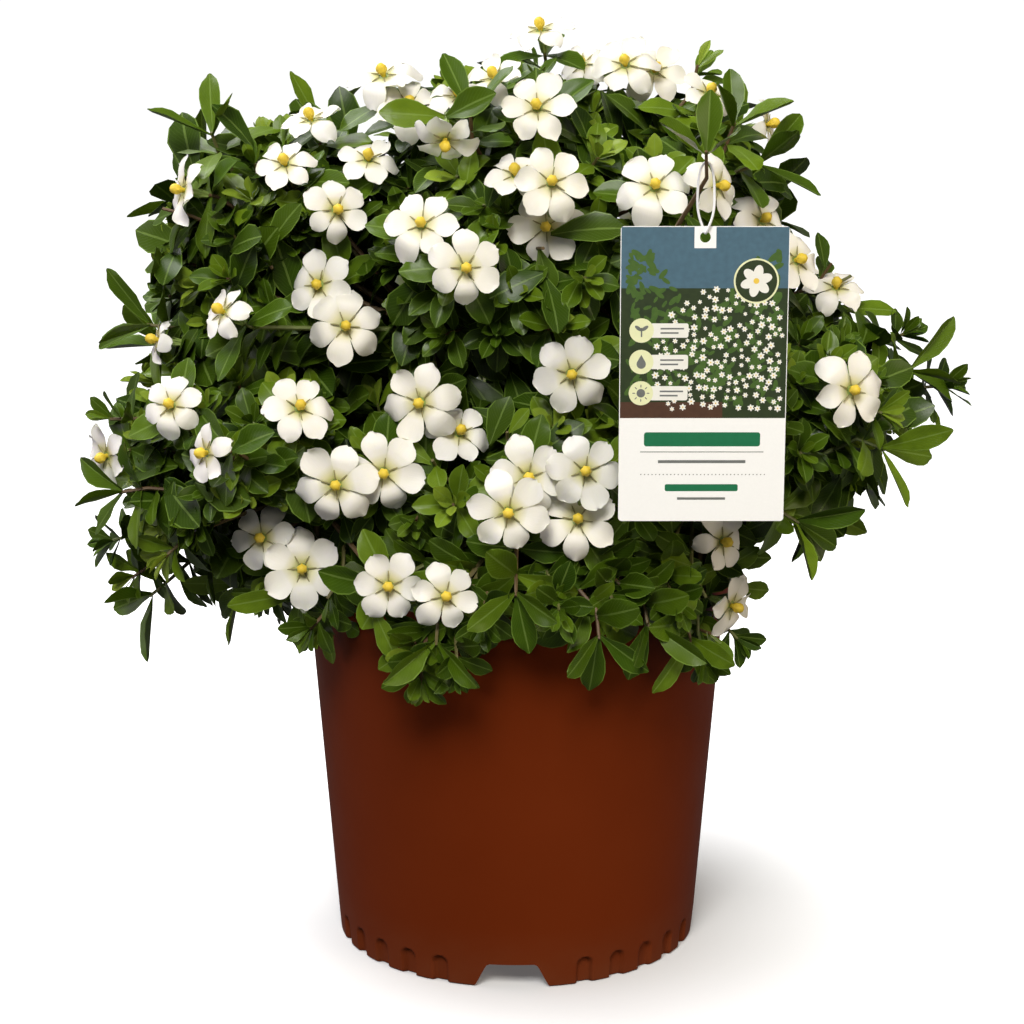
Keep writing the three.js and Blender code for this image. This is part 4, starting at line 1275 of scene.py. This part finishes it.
def flute_depth(turn, z):
    """How far an arched flute sets the foot's wall back, at a turn in degrees from the front and a height."""
    step = (turn - FOOT_TURN_DEG) / FLUTE_PITCH_DEG
    per_notch = round(360 / FLUTE_PITCH_DEG / NOTCHES)
    if round(step) % per_notch in (0, 1, per_notch - 1):
        return 0
    x = math.radians((step - round(step)) * FLUTE_PITCH_DEG) * FOOT_RADIUS
    half = FLUTE["width"] / 2 + 0.5
    above = max(0, z - FLUTE["height"] - 0.5 + half)
    return FLUTE["depth"] * smoothstep((half - math.hypot(x, above)) / 2.2)


def pot_cutters():
    """Blocks for the drain notches, with rounded corners, and drills for the holes in the floor."""
    bm = bmesh.new()
    foot, head, height = NOTCH["foot"] / 2, NOTCH["head"] / 2, NOTCH["height"]
    side = [
        (foot + 4, -3), (foot + 1.2, 0), (foot, 1.6), (head + 2.6, height - 3), (head + 1.2, height - 0.8),
        (head - 0.6, height),
    ]
    outline = side + [(-x, z) for x, z in reversed(side)]
    inner, outer = FOOT_RADIUS - SKIRT - 6, FOOT_RADIUS + 20
    for i in range(NOTCHES):
        corners = slab(bm, outline, -inner, inner - outer)
        turn = Matrix.Rotation(math.radians(360 * i / NOTCHES + FOOT_TURN_DEG), 3, "Z")
        bmesh.ops.rotate(bm, verts=corners, cent=(0, 0, 0), matrix=turn)
    for i in range(DRAIN["count"]):
        a = (i + 0.5) * TAU / DRAIN["count"]
        drill(bm, (DRAIN["ring"] * math.cos(a), DRAIN["ring"] * math.sin(a), FLOOR_Z), DRAIN["radius"], 24)
    outwards(bm, smooth=False)
    return bm


def drill(bm, at, radius, segments, lay=Matrix.Identity(4)):
    """A drill for a round hole, upright if it isn't laid over."""
    bmesh.ops.create_cone(
        bm, cap_ends=True, segments=segments, radius1=radius, radius2=radius, depth=DRILL_DEPTH,
        matrix=Matrix.Translation(at) @ lay,
    )


def pot_profile():
    """Pairs of radius and height round the pot's section, from under its floor out, up and in again."""
    foot = FOOT_RADIUS - SKIRT
    lip = RIM_RADIUS + 0.5
    inside = lip - WALL
    floor_top = FLOOR_Z + FLOOR_THICKNESS
    return [
        (0, FLOOR_Z), (60, FLOOR_Z), (foot - 1, FLOOR_Z), (foot, FLOOR_Z - 1), (foot, 0.5), (foot + 0.5, 0),
        (FOOT_RADIUS - 0.8, 0), (FOOT_RADIUS, 0.8),
        *[(wall_radius(z), z) for z in (3, 6, 9, 11, 12.5, 14, 15, 16, 17, 18, 19, 80, 150)],
        (RIM_LINE_RADIUS - 0.15, RIM_LINE_Z - 1.5), (RIM_LINE_RADIUS + 0.6, RIM_LINE_Z),
        (RIM_RADIUS - 0.6, RIM_LINE_Z + 0.7), (RIM_RADIUS, RIM_LINE_Z + 1.6), (lip, POT_HEIGHT - 1.2),
        (lip - 0.5, POT_HEIGHT - 0.2), (lip - 1.2, POT_HEIGHT), (inside - 0.9, POT_HEIGHT),
        (inside - 1.5, POT_HEIGHT - 0.5), (RIM_LINE_RADIUS - WALL, RIM_LINE_Z),
        (wall_radius(150) - WALL, 150), (wall_radius(floor_top) - SKIRT, floor_top + 1), (0, floor_top),
    ]


def make_pot():
    """The pot turned from its profile, with a rounded lip, and its foot cut by flutes and notches."""
    bm = spun(pot_profile(), 720)
    for v in bm.verts:
        radius = v.co.xy.length
        if radius > FOOT_RADIUS - 1 and v.co.z < FLUTE["height"] + 2.5:
            back = flute_depth(math.degrees(math.atan2(v.co.x, -v.co.y)), v.co.z)
            v.co.xy *= 1 - back / radius
    outwards(bm, smooth=False)
    pot = piece("pot_shell", mesh_of("pot_shell", bm, MM), [pot_finish()], "pot", "pot")
    cut_out(pot, "foot_cutter", pot_cutters())
    pot.data.shade_smooth()
    pot.data.set_sharp_from_angle(angle=math.radians(POT_SHARP_DEG))


def make_soil():
    """The root ball with an uneven crumbly top and a hole for the trunk."""
    base = FLOOR_Z + FLOOR_THICKNESS + CLEAR
    edge = wall_radius(SOIL_Z) - WALL - 1
    profile = [(0, base), (wall_radius(base) - SKIRT - 1.5, base), (edge, SOIL_Z - 2)]
    profile += [(r, soil_top(r, edge)) for r in range(124, 12, -8)]
    profile += [(9.4, SOIL_Z + 4), (9.2, SOIL_Z - TRUNK_HOLE_DEPTH), (0, SOIL_Z - TRUNK_HOLE_DEPTH)]
    bm = spun(profile, 72)
    for v in bm.verts:
        if v.co.z > SOIL_Z - 1 and 12 < v.co.xy.length < edge - 2:
            v.co.z += 0.9 * noise.noise(v.co * 0.07) + 0.5 * noise.noise(v.co * 0.3)
    outwards(bm)
    add_chips(bm, edge)
    piece("potting_mix_ball", mesh_of("potting_mix_ball", bm, MM), [soil_finish()], "soil", "soil")


def soil_top(r, edge):
    return SOIL_Z + SOIL_DOME * (1 - (r / edge) ** 2)


def add_chips(bm, edge):
    """Bark chips lying on the potting mix."""
    for i in range(CHIPS["count"]):
        r = CHIPS["from"] + (CHIPS["to"] - CHIPS["from"]) * math.sqrt(draw(i, 1))
        a = TAU * draw(i, 2)
        place = Matrix.Translation((r * math.cos(a), r * math.sin(a), soil_top(r, edge) + 0.3))
        place @= turned(TAU * draw(i, 3)) @ turned(between(-0.4, 0.4, i, 4), "X")
        size = (between(4, 12, i, 5), between(2, 5, i, 6), between(1, 2.4, i, 7), 1)
        chip = bmesh.ops.create_cube(bm, size=1, matrix=place @ Matrix.Diagonal(size))
        for v in chip["verts"]:
            v.co += noise.noise_vector(v.co * 3.1) * 0.8


# Tag and tie

INKS = {
    "ground": ((0.010, 0.020, 0.006), (0.030, 0.050, 0.012)),
    "wall_print": ((0.075, 0.16, 0.22), (0.05, 0.10, 0.14)),
    "earth_print": ((0.09, 0.04, 0.02), (0.05, 0.022, 0.012)),
    "leaf_print": ((0.030, 0.075, 0.010), (0.075, 0.15, 0.022)),
    "flower_print": ((0.85, 0.84, 0.78), (0.78, 0.77, 0.70)),
    "badge": ((0.72, 0.74, 0.42), (0.80, 0.81, 0.52)),
    "grey_print": ((0.12, 0.13, 0.12), (0.18, 0.19, 0.18)),
    "green_print": ((0.005, 0.13, 0.05), (0.008, 0.17, 0.07)),
    "yellow_print": ((0.85, 0.60, 0.08), (0.75, 0.5, 0.05)),
}
PICTURE_SHARE = 0.645
PRINT_MARGIN = 0.4
SKY_HEIGHT = 34
HOLE = {"radius": 3, "below_top": 6}
BADGE = {"x": 12, "z": 14, "step": 17.5, "radius": 6.8}
TAB_HALF = 6
PRINTED_LEAVES = 340
FLOWER_TRIES = 620
FLOWER_GAP = 3.4
INK_THICKNESS = 0.04


def oval(x, z, wide, high, turn=0.0, points=20):
    c, s = math.cos(turn), math.sin(turn)
    spots = [(wide * math.cos(a), high * math.sin(a)) for a in np.linspace(0, TAU, points, endpoint=False)]
    return [(x + c * p - s * q, z + s * p + c * q) for p, q in spots]


def bar(x0, x1, z0, z1):
    return [(x0, z0), (x1, z0), (x1, z1), (x0, z1)]


def rounded_bar(x0, x1, z0, z1, r):
    corners = [(x1 - r, z1 - r, 0), (x0 + r, z1 - r, 1), (x0 + r, z0 + r, 2), (x1 - r, z0 + r, 3)]
    return [
        (x + r * math.cos(a), z + r * math.sin(a))
        for x, z, q in corners for a in np.linspace(q * math.pi / 2, (q + 1) * math.pi / 2, 6)
    ]


class Print:
    """The card's printed shapes by ink, from its left edge and from the foot of the picture on it."""

    def __init__(self, low, high):
        self.wide = high.x - low.x
        self.tall = high.z - low.z
        self.up = self.tall * PICTURE_SHARE
        self.x, self.z = low.x, high.z - self.up
        self.front, self.back = low.y, high.y
        self.shapes = {ink: [] for ink in INKS}

    def outline(self, points):
        return [(self.x + x, self.z + z) for x, z in points]

    def add(self, ink, points, proud=0.05):
        """Prints a shape, in front of those that stand less proud."""
        self.shapes[ink].append((self.outline(points), proud))

    def make_piece(self, name, ink, bm):
        outwards(bm, smooth=False)
        finish = plain_finish(f"ink_{name}", *INKS[ink], 0.45, 300, 0.05)
        piece(f"tag_{name}", mesh_of(name, bm, MM), [finish], "tag")


def print_ground(card):
    """The picture's wall and dark ground, with a tab left white round the hole, and a strip of earth."""
    left, right = PRINT_MARGIN, card.wide - PRINT_MARGIN
    sky, top = card.up - SKY_HEIGHT, card.up - PRINT_MARGIN
    tab_left, tab_right = card.wide / 2 - TAB_HALF, card.wide / 2 + TAB_HALF
    card.add("ground", bar(left, right, 0, sky))
    card.add("wall_print", bar(left, tab_left, sky, top))
    card.add("wall_print", bar(tab_right, right, sky, top))
    card.add("wall_print", bar(tab_left, tab_right, sky, card.up - 12))
    card.add("earth_print", bar(left, left + 0.62 * (right - left), 0, 9), 0.08)


def print_leaves(card):
    """Small leaves over the ground, which leave the middle of the wall free."""
    middle = card.wide / 2
    for i in range(PRINTED_LEAVES):
        x = 5 + (card.wide - 10) * draw(i, 11)
        high = draw(i, 12)
        z = 6 + (card.up - 20) * high
        beside = abs(x - middle) > 0.75 * card.wide * (high - 0.55)
        if z < 14 and x < middle + 8 or not beside:
            continue
        size = between(2.0, 4.6, i, 13)
        card.add("leaf_print", oval(x, z, size, size * 0.42, between(0, 3, i, 14), 10), 0.10 + 0.0003 * i)


def print_flowers(card):
    """A rounded bush of small white flowers with yellow middles."""
    flowers = []
    for i in range(FLOWER_TRIES):
        x = 20 + (card.wide - 23) * draw(i, 21)
        z = 5 + card.tall * 0.42 * draw(i, 22)
        away = math.hypot((x - card.wide + 34) / 40, (z - 30) / 44)
        if away < 1 and all(math.hypot(x - p, z - q) > FLOWER_GAP for p, q in flowers):
            flowers.append((x, z))
    for n, (x, z) in enumerate(flowers):
        r = between(1.2, 2.3, n, 23)
        turns = np.linspace(0, TAU, 24, endpoint=False)
        spots = [(r * (0.78 + 0.22 * math.cos(6 * a)), a + n) for a in turns]
        card.add("flower_print", [(x + q * math.cos(a), z + q * math.sin(a)) for q, a in spots], 0.22)
        card.add("yellow_print", oval(x, z, 0.2 * r, 0.2 * r, 0, 8), 0.25)


def print_badges(card):
    """Three round badges with a sun, a drop and a sprout, each beside a plate with two blank bars."""
    x = BADGE["x"]
    sun, drop, sprout = [BADGE["z"] + BADGE["step"] * k for k in range(3)]
    for z in (sun, drop, sprout):
        card.add("badge", oval(x, z, BADGE["radius"], BADGE["radius"], 0, 28), 0.3)
        card.add("flower_print", rounded_bar(17, 38, z - 4, z + 4, 1.2), 0.27)
        for end, low in ((35.5, z + 0.6), (32.5, z - 1.8)):
            card.add("grey_print", bar(22.5, end, low, low + 0.9), 0.33)
    card.add("grey_print", oval(x, sun, 2.4, 2.4), 0.36)
    for a in [TAU * k / 8 for k in range(8)]:
        card.add("grey_print", oval(x + 4 * math.cos(a), sun + 4 * math.sin(a), 0.9, 0.3, a, 8), 0.36)
    turns = np.linspace(2.2, -2.2, 15)
    round_end = [(x + 2.6 * math.sin(a), drop - 1.2 - 2.6 * math.cos(a)) for a in turns]
    card.add("grey_print", [(x, drop + 4)] + round_end, 0.36)
    card.add("grey_print", bar(x - 0.4, x + 0.4, sprout - 3.6, sprout + 1.5), 0.36)
    card.add("grey_print", oval(x - 1.8, sprout + 1.2, 2.3, 1.0, 2.5, 12), 0.36)
    card.add("grey_print", oval(x + 1.8, sprout + 1.2, 2.3, 1.0, 0.6, 12), 0.37)


def print_emblem(card):
    """A round emblem with one flower, at the upper right."""
    x, z = card.wide - 18, card.up - 30
    card.add("badge", oval(x, z, 12.5, 12.5, 0, 36), 0.3)
    card.add("ground", oval(x, z, 11.5, 11.5, 0, 36), 0.34)
    for k in range(6):
        a = TAU * k / 6 + 0.3
        petal = oval(x + 4.6 * math.cos(a), z + 4.6 * math.sin(a), 4.4, 2.7, a, 18)
        card.add("flower_print", petal, 0.38 + 0.002 * k)
    card.add("yellow_print", oval(x, z, 1.6, 1.6), 0.43)


def print_foot(card):
    """Green and grey bars and a dotted line on the white below the picture."""
    for inset, low, high, r in ((14, -16, -8, 1.5), (26, -41.5, -37.5, 1.0)):
        card.add("green_print", rounded_bar(inset, card.wide - inset, low, high, r))
    for inset, low, high in ((12, -19.4, -18.9), (22, -25.5, -23.8), (33, -46.4, -45)):
        card.add("grey_print", bar(inset, card.wide - inset, low, high))
    for k in range(34):
        card.add("grey_print", oval(12.5 + 2.1 * k, -32, 0.35, 0.35, 0, 8))


def print_back(card):
    """Bars in blocks of three lines on the back."""
    bm = bmesh.new()
    bars = [bar(14, card.wide - 14, card.up - 30, card.up - 24)]
    for k in range(9):
        end = card.wide - 14 - 14 * (k % 3 == 2)
        bars.append(bar(14, end, card.up - 42 - 8 * k, card.up - 40.6 - 8 * k))
    for points in bars:
        slab(bm, card.outline(points), card.back, 0.05)
    card.make_piece("back_print", "green_print", bm)


def make_tag():
    """A card with a punched hole, and a generic print of leaves, white flowers and plain round badges."""
    low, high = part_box("tag")
    low, high = low / MM, high / MM
    bm = bmesh.new()
    slab(bm, rounded_bar(low.x, high.x, low.z, high.z, 2.0), low.y, high.y - low.y)
    outwards(bm, smooth=False)
    white = plain_finish("white_card", (0.93, 0.93, 0.91), (0.88, 0.88, 0.86), 0.5, 900, 0.1)
    card = piece("card", mesh_of("card", bm, MM), [white], "tag", "tag")
    hole = bmesh.new()
    at = ((low.x + high.x) / 2, low.y, high.z - HOLE["below_top"])
    drill(hole, at, HOLE["radius"], 28, turned(math.pi / 2, "X"))
    cut_out(card, "hole_cutter", hole)

    printed = Print(low, high)
    for part in (print_ground, print_leaves, print_flowers, print_badges, print_emblem, print_foot):
        part(printed)
    for ink, shapes in printed.shapes.items():
        bm = bmesh.new()
        for outline, proud in shapes:
            slab(bm, outline, printed.front - proud * 0.35, INK_THICKNESS)
        printed.make_piece(ink, ink, bm)
    print_back(printed)


TIE = {"radius": 0.9, "drawn": 0.8, "half": 4.5, "drop": 40, "back": 12, "slack": 2.4}


def make_tie(twig):
    """The closed loop over the twig and through the card's hole, round and thinner than the solid."""
    over = twig.end - twig.tip["direction"] * TIE["back"]
    top = over.z + TWIG_RADIUS + TIE["slack"] + TIE["radius"]
    hole = Vector((over.x, over.y, top - TIE["drop"]))
    half = TIE["half"]
    side = [
        (0, 0, 0), (0.6, -3, 1.6), (half, -3, 12), (half, -1, 26), (3.4, 0, 36), (0, 0, TIE["drop"]),
        (-3.4, 0, 36), (-half, 1, 26), (-half, 3, 12), (-0.6, 3, 1.6),
    ]
    curve = bpy.data.curves.new("tie_line", "CURVE")
    curve.dimensions = "3D"
    curve.bevel_depth = TIE["radius"] * MM * TIE["drawn"]
    curve.bevel_resolution = 3
    curve.resolution_u = 5
    spline = curve.splines.new("NURBS")
    spline.points.add(len(side) - 1)
    for point, p in zip(spline.points, side):
        point.co = (*((hole + Vector(p)) * MM), 1)
    spline.use_cyclic_u = True
    spline.order_u = 3
    holder = in_scene("tie_line", curve)
    mesh = final_mesh(holder)
    bpy.data.objects.remove(holder)
    mesh.materials.clear()
    mesh.shade_smooth()
    soft = plain_finish("white_tie", (0.86, 0.86, 0.85), (0.78, 0.78, 0.78), 0.35, 1500, 0.1)
    piece("loop_tie", mesh, [soft], "tag_tie", "tag_tie")


# Floor, light and camera

LIGHTS = (
    ("key", (-0.3, -2.2, 2.25), 1.1, 83, (1, 0.985, 0.95)),
    ("fill", (1.9, -1.5, 0.9), 1.2, 21, (1, 0.85, 0.64)),
    ("side", (-2.0, -0.2, 0.6), 1.0, 8, (0.86, 0.72, 1)),
    ("top", (-1.1, 0.5, 2.0), 1.3, 42, (1, 1, 1)),
)
LIT_POINT = Vector((0, 0, 0.3))
FOCAL_PIXELS = 2190
IMAGE_PIXELS = 1024
SENSOR_MM = 36


def make_floor():
    """A pale floor that glows white away from the pot and dimmer near it, a painted shade round the foot, and
    is only seen by the camera.
    """
    bm = bmesh.new()
    bmesh.ops.create_grid(bm, x_segments=2, y_segments=2, size=12)
    bmesh.ops.translate(bm, verts=bm.verts, vec=(0, 8, -0.0004))
    floor = in_scene("floor", mesh_of("floor", bm))
    finish = Finish("pale_floor", {"Roughness": 0.9, "Specular IOR Level": 0.0, "Emission Color": (1, 1, 1)})
    away = finish.node("ShaderNodeVectorMath", {"Vector": finish.place()}, operation="LENGTH")
    # The glow is weakest near the pot, which paints a soft grey shade round the foot; far off it glows full
    # white.
    glow = finish.node("ShaderNodeMapRange", {
        "Value": away.outputs["Value"], "From Min": 0.115, "From Max": 0.35, "To Min": 0.1, "To Max": 1.05,
    }).outputs["Result"]
    finish.feed(glow, finish.shader.inputs["Emission Strength"])
    floor.data.materials.append(finish.colour((0.72, 0.72, 0.72)))
    floor.visible_diffuse = False
    floor.visible_glossy = False


def make_world():
    """Even white light, weak on the plant and full where the camera looks past it."""
    world = bpy.data.worlds.new("studio")
    bpy.context.scene.world = world
    world.use_nodes = True
    nodes = Nodes(world.node_tree)
    seen = nodes.node("ShaderNodeLightPath").outputs["Is Camera Ray"]
    level = nodes.node("ShaderNodeMapRange", {"Value": seen, "To Min": 0.14, "To Max": 1.05})
    background = world.node_tree.nodes["Background"]
    nodes.feed((1, 1, 1), background.inputs["Color"])
    nodes.feed(level.outputs["Result"], background.inputs["Strength"])


def make_lights():
    for name, place, size, power, colour in LIGHTS:
        data = bpy.data.lights.new(name, "AREA")
        data.energy = power
        data.size = size
        data.color = colour
        light = in_scene(name, data)
        light.location = place
        light.rotation_euler = (LIT_POINT - Vector(place)).to_track_quat("-Z", "Y").to_euler()


def make_camera():
    data = bpy.data.cameras.new("camera")
    data.lens = SENSOR_MM * FOCAL_PIXELS / IMAGE_PIXELS
    data.sensor_width = SENSOR_MM
    data.clip_end = 100
    camera = in_scene("camera", data)
    camera.location = EYE * MM
    camera.rotation_euler = (math.radians(90 - LOOK_DOWN_DEG), 0, 0)
    bpy.context.scene.camera = camera
    bpy.context.scene.view_settings.view_transform = "Standard"


# The whole thing


def main():
    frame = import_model()
    make_floor()
    make_world()
    make_lights()
    make_camera()
    rows, middles, twigs, left = find_plant(frame)
    leaves, stems = plan_leaves(rows, middles, twigs, left)
    make_branches(leaves, stems, middles)
    make_blooms(rows)
    make_wood(middles)
    make_pot()
    make_soil()
    make_tag()
    make_tie(next(twig for twig in twigs if twig.tip.get("kind") == "tag"))


main()
